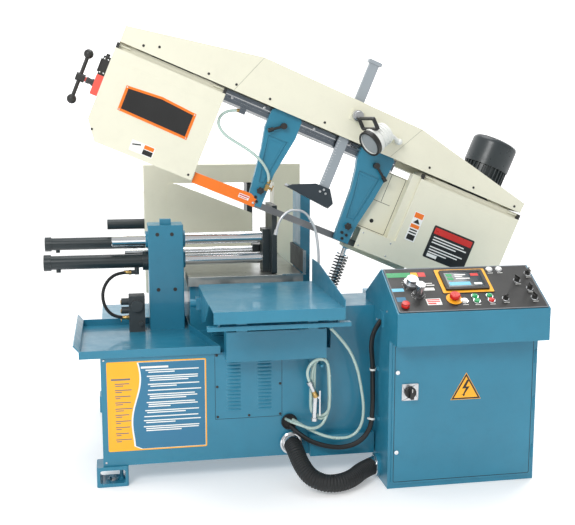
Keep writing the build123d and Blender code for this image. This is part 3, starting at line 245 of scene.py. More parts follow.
grey_ink = card_of("grey_ink", srgb(108, 112, 116), 0.5, 0.05)
black_card = finish_of("black_card", srgb(24, 24, 24), 0.4, bump=0.12, grain=600, vary=0.1)
glass = finish_of("screen_glass", srgb(26, 44, 52), 0.1, bump=0.03, grain=300, vary=0.2, coat=0.6)
lens = finish_of("lamp_lens", srgb(190, 196, 198), 0.15, bump=0.4, grain=120, grain_depth=0.0008, vary=0.05,
    transmission=0.4)
# Near black for joint lines, and for painted shade in holes and grooves.
joint_and_gap_shade = finish_of("joint_and_gap_shade", srgb(16, 18, 18), 0.6, bump=0.1, grain=400, vary=0.1)

SLOT_LOOKS = {"teal_paint": teal, "cream_paint": cream, "orange_paint": orange, "black_paint": black,
    "grey_paint": grey, "machined_steel": steel, "blade_steel": band_steel, "chrome": chrome,
    "cast_iron": iron, "motor_paint": motor_paint, "black_rubber": rubber, "clear_hose": vinyl,
    "white_plastic": white_plastic, "black_plastic": black_plastic, "red_plastic": red_plastic,
    "green_plastic": green_plastic, "aluminium": alloy, "silver_pipe": pipe_alloy,}
SLOT_OF = {look.name: slot for slot, look in SLOT_LOOKS.items()}
for slot, looks in (("aluminium", [brass]), ("black_paint", [joint_and_gap_shade, shoe_black]),
        ("cream_paint", [cream_dark]), ("orange_paint", [yellow]), ("teal_paint", [blue, light_blue]),
        ("grey_paint", [grey_ink]), ("black_plastic", [black_card, glass]), ("white_plastic",
        [white_card, lens])):
    for look in looks:
        SLOT_OF[look.name] = slot
OWN_LOOKS = {"bed_plate": bed_steel, "tension_unit": red_paint, "fixed_jaw": iron, "guide_rail": rail_steel}
for row in frame["record"]["subparts"]:
    look = OWN_LOOKS.get(row["node"], SLOT_LOOKS[row["material_slot"]])
    NODES[row["node"]].data.materials.clear()
    NODES[row["node"]].data.materials.append(look)


# ---------------------------------------------------------------- mesh helpers
def prism(bm, plane, outline, low, high):
    """Closed outline on a plane, between two heights over it."""
    ends = []
    for w in (low, high):
        ends.append([bm.verts.new(at(plane, x, y, w)) for x, y in outline])
    bm.faces.new(ends[1])
    bm.faces.new(list(reversed(ends[0])))
    count = len(outline)
    for i in range(count):
        j = (i + 1) % count
        bm.faces.new((ends[0][i], ends[0][j], ends[1][j], ends[1][i]))


def rect(x0, x1, y0, y1, r=0.0):
    """Rectangle outline with rounded corners."""
    if r == 0:
        return [(x0, y0), (x1, y0), (x1, y1), (x0, y1)]
    points = []
    for cx, cy, start in ((x1 - r, y0 + r, -90), (x1 - r, y1 - r, 0), (x0 + r, y1 - r, 90),
            (x0 + r, y0 + r, 180)):
        for k in range(5):
            a = radians(start + 22.5 * k)
            points.append((cx + r * cos(a), cy + r * sin(a)))
    return points


def ring_path(cx, cy, r, count=32):
    return [(cx + r * cos(2 * pi * k / count), cy + r * sin(2 * pi * k / count)) for k in range(count)]


def lathe(bm, plane, x, y, profile, count=32):
    """Turned shape: profile of (radius, height) pairs from the axis round to the axis."""
    rings = []
    for r, w in profile:
        if r == 0:
            rings.append([bm.verts.new(at(plane, x, y, w))])
        else:
            rings.append([bm.verts.new(at(plane, px, py, w)) for px, py in ring_path(x, y, r, count)])
    for low, high in zip(rings, rings[1:]):
        for i in range(count):
            j = (i + 1) % count
            corners = [low[i % len(low)], low[j % len(low)], high[j % len(high)], high[i % len(high)]]
            unique = []
            for c in corners:
                if c not in unique:
                    unique.append(c)
            bm.faces.new(unique)


def frame_outline(bm, plane, outer, inner, low, high):
    """Flat frame between two outlines with the same number of points."""
    loops = []
    for line, w in ((outer, low), (outer, high), (inner, high), (inner, low)):
        loops.append([bm.verts.new(at(plane, x, y, w)) for x, y in line])
    count = len(outer)
    for a, b in zip(loops, loops[1:] + loops[:1]):
        for i in range(count):
            j = (i + 1) % count
            bm.faces.new((a[i], a[j], b[j], b[i]))


def piece(bm, name, look, body, bevel=0.0, smooth=30):
    """Mesh object of a bmesh, with its material, riding on a body."""
    bmesh.ops.recalc_face_normals(bm, faces=bm.faces[:])
    data = bpy.data.meshes.new(name)
    bm.to_mesh(data)
    bm.free()
    obj = bpy.data.objects.new(name, data)
    bpy.context.scene.collection.objects.link(obj)
    data.materials.append(look)
    if bevel:
        edge = obj.modifiers.new("edge", "BEVEL")
        edge.width = bevel * MM
        edge.segments = 2
        edge.limit_method = "ANGLE"
        edge.angle_limit = radians(40)
    if smooth:
        data.shade_smooth()
        data.set_sharp_from_angle(angle=radians(smooth))
    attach(obj, body)
    return obj


def shapes(name, look, body, plane, outlines, low, high, bevel=0.0):
    """Several flat outlines of one thickness as one piece."""
    bm = bmesh.new()
    for line in outlines:
        prism(bm, plane, line, low, high)
    return piece(bm, name, look, body, bevel)


def nurbs(name, points, diameter, look, body, resolution=24):
    """Round cord on a smooth spline with given control points, in metres."""
    curve = bpy.data.curves.new(name, "CURVE")
    curve.dimensions = "3D"
    spline = curve.splines.new("NURBS")
    spline.points.add(len(points) - 1)
    for slot_point, p in zip(spline.points, points):
        slot_point.co = (*p, 1)
        slot_point.radius = diameter / 2
    spline.order_u = 3
    spline.use_endpoint_u = True
    spline.resolution_u = resolution
    curve.bevel_depth = 1.0
    curve.bevel_resolution = 5
    curve.use_fill_caps = True
    curve.materials.append(look)
    obj = bpy.data.objects.new(name, curve)
    bpy.context.scene.collection.objects.link(obj)
    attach(obj, body)
    return obj


def spline_line(obj):
    """Points of a cord's own spline, read with no bevel."""
    depth = obj.data.bevel_depth
    obj.data.bevel_depth = 0
    bpy.context.view_layer.update()
    thread = bpy.data.meshes.new_from_object(obj)
    line = [v.co.copy() for v in thread.vertices]
    bpy.data.meshes.remove(thread)
    obj.data.bevel_depth = depth
    return line


def even_line(line, step):
    """The same line at even steps, with its distances."""
    total = sum((b - a).length for a, b in zip(line, line[1:]))
    count = max(4, round(total / step))
    wanted = [total * k / count for k in range(count + 1)]
    points, gone, index = [], 0.0, 0
    for d in wanted:
        while index < len(line) - 2 and gone + (line[index + 1] - line[index]).length < d:
            gone += (line[index + 1] - line[index]).length
            index += 1
        run = line[index + 1] - line[index]
        points.append(line[index] + run * ((d - gone) / run.length))
    return points, wanted


def sleeve(bm, line, step, radius_at, count=28, start=0.0, end=None, shift=None):
    """Tube mesh along a line, its radius given by distance."""
    points, gone = even_line(line, step)
    end = gone[-1] if end is None else end
    keep = [i for i, d in enumerate(gone) if start - 1e-9 <= d <= end + 1e-9]
    across = None
    rings = []
    for i in keep:
        before, after = points[max(i - 1, 0)], points[min(i + 1, len(points) - 1)]
        along = (after - before).normalized()
        if across is None:
            across = along.orthogonal().normalized()
        across = (across - along * across.dot(along)).normalized()
        other = along.cross(across)
        middle = points[i].copy()
        if shift:
            a, b = shift(gone[i])
            middle += across * a + other * b
        ring = []
        for k in range(count):
            turn = 2 * pi * k / count
            r = radius_at(gone[i], turn)
            ring.append(bm.verts.new(middle + across * (r * cos(turn)) + other * (r * sin(turn))))
        rings.append(ring)
    for a, b in zip(rings, rings[1:]):
        for k in range(count):
            m = (k + 1) % count
            bm.faces.new((a[k], a[m], b[m], b[k]))
    bm.faces.new(list(reversed(rings[0])))
    bm.faces.new(rings[-1])
    return [tuple(points[i]) for i in keep]


def cord_length(line):
    return sum((b - a).length for a, b in zip(line, line[1:]))


def turned(name, look, body, plane, places, profile, count=32, bevel=0.0):
    """Turned shapes of one profile at some places of a plane, as one piece."""
    bm = bmesh.new()
    for x, y in places:
        lathe(bm, plane, x, y, profile, count)
    return piece(bm, name, look, body, bevel)


def framed(name, look, body, plane, outer, inner, low, high, bevel=0.0):
    """Flat frame between two outlines, as one piece."""
    bm = bmesh.new()
    frame_outline(bm, plane, outer, inner, low, high)
    return piece(bm, name, look, body, bevel)


def lobed(cx, cy, count, radius_at):
    """Round outline with a radius of its own for each point."""
    points = []
    for k in range(count):
        turn = 2 * pi * k / count
        points.append((cx + radius_at(k) * cos(turn), cy + radius_at(k) * sin(turn)))
    return points


# ---------------------------------------------------------------- camera
camera_data = bpy.data.cameras.new("camera")
camera_data.sensor_width = 36
camera_data.lens = 58.73
camera_data.clip_end = 200
camera = bpy.data.objects.new("camera", camera_data)
camera.location = (-0.690, -4.101, 1.450)
camera.rotation_euler = (radians(81), 0, radians(-10.5))
bpy.context.scene.collection.objects.link(camera)
bpy.context.scene.camera = camera


# ---------------------------------------------------------------- cords
def metres(points):
    return [tuple(c * MM for c in p) for p in points]


CONDUIT = metres([(-11, -530, 135), (-10, -590, 134), (0, -650, 96), (25, -715, 60), (78, -752, 44),
    (140, -750, 42), (200, -712, 43), (252, -654, 50), (315, -612, 52)])
LOOM = metres([(324, -634, 653), (294, -634, 612), (288, -622, 545), (302, -605, 475), (305, -598, 410),
    (305, -606, 335), (303, -612, 270), (296, -612, 205), (256, -606, 150), (194, -600, 128),
    (130, -596, 134), (68, -586, 152), (18, -562, 178), (-16, -524, 206)])
DRAIN = metres([(126, -617, 625), (190, -616, 560), (235, -612, 470), (256, -604, 380), (270, -602, 290),
    (262, -602, 215), (222, -604, 172), (160, -604, 168), (100, -600, 184), (42, -580, 210),
    (-6, -524, 232)])
VISE = metres([(-642, -76, 582), (-686, -76, 582), (-727, -74, 606), (-749, -67, 651), (-749, -55, 701),
    (-724, -38, 745), (-680, -24, 770), (-631, -20, 770)])
COOLANT = [tuple(at(BOW, s, n, -y)) for s, n, y in ((-240, 336, -191), (-282, 322, -197), (-311, 286, -204),
    (-308, 248, -211), (-272, 220, -219), (-218, 208, -228), (-158, 200, -235), (-100, 183, -238),
    (-54, 155, -236), (-30, 128, -230), (-22, 102, -226))]


def hank_points():
    """Feed of the wash hose, then its turns hanging on the hook, each a little different."""
    feed = [(-34, -524, 236), (-26, -568, 240), (12, -600, 232), (54, -608, 216), (96, -598, 222),
        (124, -584, 262)]
    turns = [(38, 0, -573, 0), (30, 3, -580, 8), (35, -3, -587, -6)]
    points = list(feed)
    for half_width, lean, depth, drop in turns:
        low, high = 284 - drop, 457
        right, left = 97 + half_width + lean, 97 - half_width + lean
        for x, z in ((right + 2, low + 38), (right, low + 96), (right - 2, high - 10), (97 + 24, high + 30),
                (97, high + 38), (97 - 24, high + 28), (left + 2, high - 12), (left, low + 90),
                (left - 3, low + 34), (left + 2, low - 14), (97 + lean, low - 31), (right - 2, low - 14)):
            points.append((x, depth + 3 * sin(z * 0.05 + half_width), z))
    points += [(131, -593, 322), (130, -595, 390), (127, -597, 450), (118, -598, 487), (94, -600, 499),
        (63, -602, 493), (41, -605, 467), (35, -607, 437), (45, -607, 411)]
    return metres(points)


conduit_guide = nurbs("conduit_hose_guide", CONDUIT, 0.070, rubber, "base")
conduit_line = spline_line(conduit_guide)
bpy.data.objects.remove(conduit_guide)
conduit_bm = bmesh.new()
conduit_path = sleeve(
    conduit_bm, conduit_line, 0.0012, lambda d, _: 0.0335 + 0.0015 * cos(2 * pi * d / 0.0105), 40)
conduit = piece(conduit_bm, "conduit_hose_corrugated", rubber, "base", smooth=60)
clamp_bm = bmesh.new()
total = cord_length(conduit_line)
for start, end in ((0.0, 0.026), (total - 0.030, total)):
    sleeve(clamp_bm, conduit_line, 0.002, lambda d, _: 0.0364, 40, start, end)
clamps = piece(clamp_bm, "conduit_clamps", chrome, "base", smooth=40)
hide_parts("conduit_hose")

loom_guide = nurbs("control_loom_guide", LOOM, 0.020, rubber, "base")
loom_line = spline_line(loom_guide)
bpy.data.objects.remove(loom_guide)
loom_bm = bmesh.new()
loom_path = sleeve(loom_bm, loom_line, 0.004, lambda d, turn: 0.0094 + 0.0011 * cos(3 * turn + d * 9), 36)
loom = piece(loom_bm, "control_loom_cables", rubber, "base", smooth=60)
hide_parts("control_loom")
ties_bm = bmesh.new()
for z in (0.447, 0.247):
    near = min(range(len(loom_line)),
        key=lambda i: abs(loom_line[i].z - z) + (10 if loom_line[i].x < 0.28 else 0))
    along = loom_line[near + 1] - loom_line[near - 1]
    spot = plane_at(tuple(loom_line[near] / MM), along)
    frame_outline(ties_bm, spot, ring_path(0, 0, 12.5), ring_path(0, 0, 10.8), -4, 4)
    prism(ties_bm, spot, rect(-4, 4, 11, 19), -3.5, 3.5)
ties = piece(ties_bm, "loom_ties", white_plastic, "base", 0.4)

drain = nurbs("drain_hose_tube", DRAIN, 0.012, vinyl, "base")
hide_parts("drain_hose")
cord_length(spline_line(drain))

WASH = hank_points()
wash = nurbs("wash_hose_hank", WASH, 0.012, vinyl, "base", 10)
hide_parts("wash_hose", "wash_coil")
cord_length(spline_line(wash))

vise_hose = nurbs("vise_hose_tube", VISE, 0.014, rubber, "base")
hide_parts("vise_hose")
ferrule_bm = bmesh.new()
for end, out in ((VISE[0], -X_DIR), (VISE[-1], -X_DIR)):
    spot = plane_at(tuple(Vector(end) / MM), out)
    lathe(ferrule_bm, spot, 0, 0, [(0, -6), (11, -6), (11, 3), (9, 4), (9, 16), (8.2, 18), (8.2, 26),
        (0, 26)], 24)
ferrules = piece(ferrule_bm, "vise_hose_ferrules", brass, "base", 0.4)
cord_length(spline_line(vise_hose))

coolant = nurbs("coolant_hose_tube", COOLANT, 0.012, vinyl, "head")
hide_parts("coolant_hose")
tap_bm = bmesh.new()
for end, out in ((COOLANT[0], Vector(COOLANT[1]) - Vector(COOLANT[0])), (COOLANT[-1], N_DIR)):
    spot = plane_at(tuple(Vector(end) / MM), out)
    low = -3 if out == N_DIR else -8
    lathe(tap_bm, spot, 0, 0, [(0, low), (8.5, low), (8.5, 3), (7.4, 4), (7.4, 14), (6.6, 16), (0, 16)], 24)
tap = piece(tap_bm, "coolant_hose_ferrules", brass, "head", 0.4)
cord_length(spline_line(coolant))
body_bm = bmesh.new()
prism(body_bm, BOW, rect(-30, -14, 68, 96, 2), 211.2, 233)
lathe(body_bm, (at(BOW, -14, 84, 222) / MM, -Y_DIR, N_DIR, S_DIR), 0, 0, [(0, 0), (6, 0), (6, 8), (4, 9),
    (4, 14), (0, 14)], 20)
prism(body_bm, BOW, rect(0, 4, 74, 100, 1), 217, 227)
piece(body_bm, "coolant_tap", brass, "left_arm", 0.8)


# ---------------------------------------------------------------- small hardware
def screws(name, look, body, plane, places, r, low, height, head="hex"):
    """Screw heads on a surface: hexagonal, domed or socket head."""
    bm = bmesh.new()
    for x, y in places:
        turn = random.uniform(0, pi / 3)
        if head == "hex":
            frame_outline(bm, plane, ring_path(x, y, r * 1.5, 24), ring_path(x, y, r * 0.5, 24), low,
                low + height * 0.25)
            corners = [(x + r * cos(turn + k * pi / 3), y + r * sin(turn + k * pi / 3)) for k in range(6)]
            prism(bm, plane, corners, low, low + height)
        elif head == "dome":
            profile = [(0, low), (r, low), (r * 0.92, low + height * 0.5), (r * 0.6, low + height * 0.88),
                (0, low + height)]
            lathe(bm, plane, x, y, profile, 20)
        else:
            profile = [(0, low), (r, low), (r, low + height * 0.8), (r * 0.9, low + height),
                (r * 0.5, low + height), (r * 0.5, low + height * 0.4), (0, low + height * 0.4)]
            lathe(bm, plane, x, y, profile, 20)
    return piece(bm, name, look, body, 0.3)


# Covers: badge and labels
COVER_FRONT = 236


def label(name, look, body, outlines, low, high, bevel=0.0):
    """Flat shapes on a cover of the bow, between two heights over it."""
    return shapes(name, look, body, BOW, outlines, COVER_FRONT + low, COVER_FRONT + high, bevel)


badge = [(-705, 146), (-405, 138), (-405, 250), (-555, 262), (-705, 250)]
badge_in = [(-694, 156), (-416, 149), (-416, 241), (-555, 252), (-694, 241)]
label("maker_badge_rim", orange, "left_cover", [badge], 0.05, 1.2, 0.3)
label("maker_badge_face", black_card, "left_cover", [badge_in], 1.25, 2.0, 0.2)
screws("badge_rivets", alloy, "left_cover", BOW, [(-699, 151), (-411, 144), (-411, 245), (-699, 245)], 3.2,
    COVER_FRONT + 1.2, 1.4, "dome")
label("cover_label_card", white_card, "left_cover", [rect(-607, -507, 15, 60, 3)], 0.05, 0.6)
label("cover_label_black", black_card, "left_cover", [rect(-552, -511, 18, 38, 1),
    [(-602, 44), (-568, 53), (-566, 48), (-600, 39)]], 0.65, 0.95)
label("cover_label_orange", orange, "left_cover", [rect(-552, -511, 41, 57, 1)], 0.65, 0.95)
label("door_plate_black", black_card, "right_cover", [rect(727, 927, 62, 208, 6)], 0.05, 0.8, 0.2)
label("door_plate_red", red_plastic, "right_cover", [rect(735, 919, 172, 200, 2)], 0.85, 1.2)
door_lines = [rect(742, 790, 70, 84)]
for w, n in ((90, 88), (140, 100), (160, 112), (120, 132), (166, 144), (150, 156)):
    door_lines.insert(0, rect(742, 742 + w, n, n + 5))
label("door_plate_lines", white_card, "right_cover", door_lines, 0.85, 1.15)
label("narrow_label_card", white_card, "right_cover", [rect(620, 667, 101, 231, 2)], 0.05, 0.6)
label("narrow_label_orange", orange, "right_cover", [rect(623, 664, 205, 228), rect(623, 664, 160, 176)],
    0.65, 0.95)
label("narrow_label_black", black_card, "right_cover", [[(628, 182), (660, 182), (644, 202)],
    rect(626, 661, 148, 154), rect(626, 661, 136, 142), rect(626, 661, 106, 130)], 0.65, 0.95)
shapes("guard_label_card", white_card, "left_arm", BOW, [rect(-118, -72, 2, 20, 1)], 214.05, 214.6)
shapes("guard_label_red", red_plastic, "left_arm", BOW, [rect(-116, -74, 12, 17), rect(-114, -78, 5, 8)],
    214.65, 214.9)

# Dark end caps of the hinge grooves
for cover, places, n in (("left_cover", (-799, -338), 396), ("right_cover", (588, 1066), 392)):
    cap_bm = bmesh.new()
    for s in places:
        prism(cap_bm, BOW, rect(s, s + 12, n - 23.8, n - 2), 214.05, 235)
    piece(cap_bm, cover + "_hinge_caps", black_plastic, cover, 0.8)
# Pressed fold across each cover
for cover, s, n in (("left_cover", (-795, -330), 322), ("right_cover", (592, 1074), 340)):
    shapes(cover + "_crease", cream, cover, BOW, [[(s[0], n - 2), (s[1], n - 2), (s[1], n + 2),
        (s[0], n + 2)]], 236.02, 236.5, 0.3)

# Top cover: fold lines and screws
fold_bm = bmesh.new()
for a, b in (((-234, 569), (-300, 402)), ((505, 559), (420, 402))):
    run = Vector((b[0] - a[0], b[1] - a[1])).normalized()
    side = Vector((-run.y, run.x)) * 0.9
    prism(fold_bm, BOW, [(a[0] - side.x, a[1] - side.y), (b[0] - side.x, b[1] - side.y),
        (b[0] + side.x, b[1] + side.y), (a[0] + side.x, a[1] + side.y)], 243.02, 243.5)
piece(fold_bm, "top_cover_folds", cream_dark, "head", 0)
screws("top_cover_screws", black_plastic, "head", BOW, [(-700, 420), (-640, 440), (-420, 420), (-300, 424),
    (-150, 424), (100, 424), (330, 420), (600, 424), (820, 420), (1030, 415)], 5.5, 243, 3, "dome")

# Recessed panel seams, and the sight hole as a disc of painted shade
seam_bm = bmesh.new()
frame_outline(seam_bm, BOW, rect(412, 546, 80, 340, 4), rect(414, 544, 82, 338, 3), 180.02, 180.5)
prism(seam_bm, BOW, rect(440, 520, 208, 210), 180.02, 180.4)
prism(seam_bm, BOW, rect(476, 478, 212, 338), 180.02, 180.4)
# Sight hole: a dark disc of painted shade in the hole.
lathe(seam_bm, BOW, 470, 120, [(0, 180.02), (9, 180.02), (9, 180.6), (0, 180.6)], 24)
piece(seam_bm, "recess_seams_and_hole_shade", joint_and_gap_shade, "head", 0)

# Screws of the exit channel and of the left cover
screws("channel_screws", alloy, "head", BOW, [(440, 60), (572, 60), (440, 2), (572, 2)], 4, 236, 2.4, "dome")
screws("left_cover_screws", black_plastic, "left_cover", BOW, [(-770, 36), (-346, 10)], 5, 236, 3, "dome")

# Latch of the right door
latch_bm = bmesh.new()
knurl = lobed(1052, 16, 48, lambda k: 13.5 if k % 2 else 12.6)
prism(latch_bm, BOW, knurl, 244.05, 252)
lathe(latch_bm, BOW, 1052, 16, [(0, 252), (10, 252), (9, 254), (0, 254)], 24)
piece(latch_bm, "door_latch_knob", chrome, "right_cover", 0.4)

# Guide arms: raised pocket frames, knobs and screws
for arm, pocket, hub in (("left_arm", [(-92, 284), (-14, 284), (-30, 184), (-40, 96), (-54, 96),
        (-74, 184)], (-42, 60)), ("right_arm", [(330, 294), (418, 294), (402, 194), (383, 96), (355, 96),
        (347, 194)], (368, 60))):
    middle = (sum(p[0] for p in pocket) / 6, sum(p[1] for p in pocket) / 6)
    inner = [(middle[0] + (x - middle[0]) * 0.82, middle[1] + (y - middle[1]) * 0.9) for x, y in pocket]
    framed(arm + "_pocket_rib", teal, arm, BOW, pocket, inner, 204.9, 207.5, 0.8)
    grip_bm = bmesh.new()
    star = lobed(*hub, 36, lambda k: 14.5 + 1.3 * cos(6 * 2 * pi * k / 36))
    prism(grip_bm, BOW, star, 226.05, 236)
    lathe(grip_bm, BOW, hub[0], hub[1], [(0, 236), (7, 236), (6, 238.5), (0, 238.5)], 20)
    piece(grip_bm, arm + "_guide_knob", black_plastic, arm, 0.8)
    lows = ((hub[0] - 6, 28), (hub[0] + 4, 12)) if arm == "left_arm" else ((hub[0] - 10, 26),
        (hub[0] + 12, 22), (hub[0], 2))
    screws(arm + "_guide_screws", black_plastic, arm, BOW, lows, 6.5, 211, 6, "socket")
screws("guard_screw", alloy, "left_arm", BOW, [(-50, 2)], 5.5, 218, 2.5, "socket")

# Blade teeth between the guides
teeth_bm = bmesh.new()
pitch, first, last = 6.0, -88, 412
for k in range(int((last - first) / pitch)):
    s = first + k * pitch
    prism(teeth_bm, BOW, [(s, -13.0), (s + 1.2, -16.8), (s + 4.8, -14.4), (s + pitch, -13.0)], 172.3, 173.7)
piece(teeth_bm, "blade_teeth", band_steel, "head", 0)

# Guide rail: screws
screws("rail_screws", chrome, "head", BOW, [(-290, 372), (-150, 386), (80, 386), (250, 386)], 6, 182.6, 4,
    "socket")

# Height bar: knob, scale marks
knob_bm = bmesh.new()
rim = lobed(215, 502, 60, lambda k: 23.4 if k % 2 else 22.7)
prism(knob_bm, BOW, rim, 260, 276)
lathe(knob_bm, BOW, 215, 502, [(0, 276.5), (19, 278), (17, 280.5), (8, 281), (0, 281)], 32)
piece(knob_bm, "bar_knob_knurl", alloy, "bar_knob", 0.3)
marks = [rect(190, 190 + (12 if k % 5 == 0 else 7), 140 + 12 * k, 141 + 12 * k) for k in range(34)]
shapes("height_bar_marks", white_card, "height_bar", BOW, marks, 216.02, 216.3)

# Shoe of the height bar: dark plates with their screws
shapes("shoe_plate", shoe_black, "height_bar", BOW, [[(58, 121), (74, 136), (168, 177), (234, 177),
    (270, 124), (258, 100)]], 224.05, 227, 0.8)
shapes("shoe_floor", shoe_black, "height_bar", BOW, [[(58, 121), (258, 100), (257, 97), (58, 118)]], 147,
    227, 0.5)
screws("shoe_screws", alloy, "height_bar", BOW, [(196, 152), (222, 152), (209, 165)], 5, 227, 4, "socket")

# Guide rail: bright edges
edge_bm = bmesh.new()
prism(edge_bm, BOW, rect(-320, 468, 346, 351), 182.55, 183.2)
prism(edge_bm, BOW, rect(-320, 468, 378, 382), 182.55, 183.2)
piece(edge_bm, "rail_bright_edges", chrome, "head", 0.2)

# Work lamp: bezel, lens, cooling ribs, frame handle
lamp_axis = Vector((-0.8, -0.35, -0.49)).normalized()
LAMP = plane_at((376, -330, 1344), lamp_axis)
turned("lamp_bezel", black_plastic, "work_lamp", LAMP, [(0, 0)], [(47.2, 34), (47.5, 37), (55.6, 37),
    (56, 33), (56, 18), (55.1, 16), (55.05, 34)], 48, 0.6)
turned("lamp_lens", lens, "work_lamp", LAMP, [(0, 0)], [(0, 30), (46, 29), (46.6, 28.3), (46.6, 28.1),
    (0, 28.1)], 48)
ribs_bm = bmesh.new()
for w in (-52, -40, -28, -16):
    lathe(ribs_bm, LAMP, 0, 0, [(45.5, w), (49, w + 1), (49, w + 4), (45.5, w + 5)], 48)
piece(ribs_bm, "lamp_ribs", white_plastic, "work_lamp", 0.4)
framed("lamp_handle", black_plastic, "work_lamp", LAMP, rect(-52, 52, 47, 104, 7), rect(-43, 43, 55, 95, 5),
    -8, 6, 1)

# Tension unit: black screw sleeve and switch box over the red block
def bow_box(bm, s, n, y):
    prism(bm, BOW, rect(s[0], s[1], n[0], n[1], 2), -y[1], -y[0])


switch_bm = bmesh.new()
bow_box(switch_bm, (-831, -800.5), (251, 332), (-114, -68))
bow_box(switch_bm, (-838, -831), (262, 318), (-108, -74))
bow_box(switch_bm, (-824, -808), (332, 344), (-100, -82))
piece(switch_bm, "tension_switch", black_plastic, "head", 1)
screws("tension_switch_screws", chrome, "head", BOW, [(-824, 262), (-808, 262), (-824, 320), (-808, 320)],
    3.5, 114, 2, "dome")
sleeve_bm = bmesh.new()
SCREW = (at(BOW, -832, 212, 85) / MM, -Y_DIR, N_DIR, -S_DIR)
lathe(sleeve_bm, SCREW, 0, 0, [(10.3, 0.3), (15, 0.3), (15, 8), (12, 10), (12, 20), (13.5, 21), (13.5, 32),
    (10.3, 32), (10.3, 0.3)], 32)
piece(sleeve_bm, "tension_screw_sleeve", iron, "head", 0)

# Gearbox: ring of cover screws
screws("gearbox_screws", alloy, "head", (Vector((-72.2, 0, 1061.4)), -S_DIR, N_DIR, Y_DIR),
    [(-(831 + 58 * cos(pi * k / 3)), 210 + 58 * sin(pi * k / 3)) for k in range(6)], 7, 204, 5)

# Base: poster, louvre lips, seams and anchor nuts
BASE_FRONT = 518
POSTER = (-738, -352, 141, 502)
shapes("poster_card", yellow, "base", FRONT, [rect(*POSTER, 6)], BASE_FRONT + 0.05, BASE_FRONT + 0.7)


def wavy_field(left, right, low, high, swell):
    """Field with an S-shaped left edge."""
    steps = 28
    edge = []
    for k in range(steps + 1):
        share = k / steps
        edge.append((left + swell * sin(2.15 * pi * share + 0.35) - 22 * share**3,
            high - (high - low) * share))
    edge[-1] = (edge[-1][0] + 26, edge[-1][1])
    return [(right, low), (right, high)] + edge


shapes("poster_wave_edge", white_card, "base", FRONT, [wavy_field(-626, -357, 146, 497, 14)],
    BASE_FRONT + 0.75, BASE_FRONT + 0.95)
shapes("poster_field", blue, "base", FRONT, [wavy_field(-620, -358, 147, 496, 14)], BASE_FRONT + 1.0,
    BASE_FRONT + 1.2)
lines, z = [], 462
for group in (2, 3, 2, 1, 3, 3, 2, 1, 2, 3):
    for k in range(group):
        start = -590 + 10 * sin(z * 0.02) + (0 if k == 0 else 9)
        width = random.uniform(0.86, 1.0) if k < group - 1 or group == 1 else random.uniform(0.4, 0.8)
        lines.append(rect(start, start + (-372 - start) * width, z, z + 4.2, 1))
        z -= 8.2
    z -= 8
shapes("poster_lines", white_card, "base", FRONT, [rect(-606, -500, 472, 480, 1)] + lines,
    BASE_FRONT + 1.25, BASE_FRONT + 1.4)
lines, z = [rect(-722, -648, 428, 435, 1)], 412
for k in range(10):
    lines += [rect(-708, -708 + random.uniform(48, 66), z, z + 3.6, 1), rect(-706,
        -706 + random.uniform(18, 34), z - 8, z - 4.4, 1)]
    z -= 25
shapes("poster_list", grey_ink, "base", FRONT, lines, BASE_FRONT + 0.75, BASE_FRONT + 0.95)

lip_bm = bmesh.new()
for column in (-243, -119):
    for k in range(14):
        z = 381 + (k - 6.5) * 15
        steps = 8
        rows = []
        for j in range(steps + 1):
            x = column - 29 + 58 * j / steps
            rise = sin(pi * j / steps) ** 0.4 if 0 < j < steps else 0
            rows.append([(x, z - 2.8, BASE_FRONT + 0.1), (x, z - 1.8, BASE_FRONT + 0.2 + 4.4 * rise),
                (x, z + 3, BASE_FRONT + 0.2 + 3.2 * rise), (x, z + 6, BASE_FRONT + 0.1)])
        grid = [[lip_bm.verts.new(at(FRONT, x, zz, w)) for x, zz, w in row] for row in rows]
        under = [[lip_bm.verts.new(at(FRONT, x, zz, w - 0.9)) for x, zz, w in row] for row in rows]
        for a in range(steps):
            for b in range(3):
                lip_bm.faces.new((grid[a][b], grid[a + 1][b], grid[a + 1][b + 1], grid[a][b + 1]))
                lip_bm.faces.new((under[a][b], under[a][b + 1], under[a + 1][b + 1], under[a + 1][b]))
        for a in range(steps):
            for b in (0, 3):
                lip_bm.faces.new((grid[a][b], grid[a + 1][b], under[a + 1][b], under[a][b]))
        for a in (0, steps):
            for b in range(3):
                lip_bm.faces.new((grid[a][b], grid[a][b + 1], under[a][b + 1], under[a][b]))
piece(lip_bm, "louvre_lips", teal, "base", 0, 60)
screws("base_front_screws", alloy, "base", FRONT, [(-748, 510), (-748, 96), (560, 500), (745, 500),
    (745, 96)], 4.5, BASE_FRONT, 2.6, "dome")
screws("louvre_panel_screws", black_plastic, "base", FRONT, [(-310, 510), (-309, 382), (-308, 258),
    (-182, 258), (-56, 257), (-56, 383)], 5.5, BASE_FRONT, 3, "dome")
framed("louvre_panel_seam", joint_and_gap_shade, "base", FRONT, rect(-318, -48, 248, 516), rect(-316.6, -49.4, 249.4,
    514.6), BASE_FRONT + 0.02, BASE_FRONT + 0.35)
screws("anchor_nuts", alloy, "base", TOP, [(-725, -478), (725, -478), (-725, 478), (725, 478)], 14, 14.05,
    12)

# Post: plugs
hole_bm = bmesh.new()
for x, z in ((-512, 940), (-450, 940), (-512, 700), (-440, 700)):
    lathe(hole_bm, FRONT, x, z, [(0, 85.02), (8, 85.02), (8.4, 85.7), (0, 85.7)], 24)
piece(hole_bm, "post_plugs", black_plastic, "base", 0)

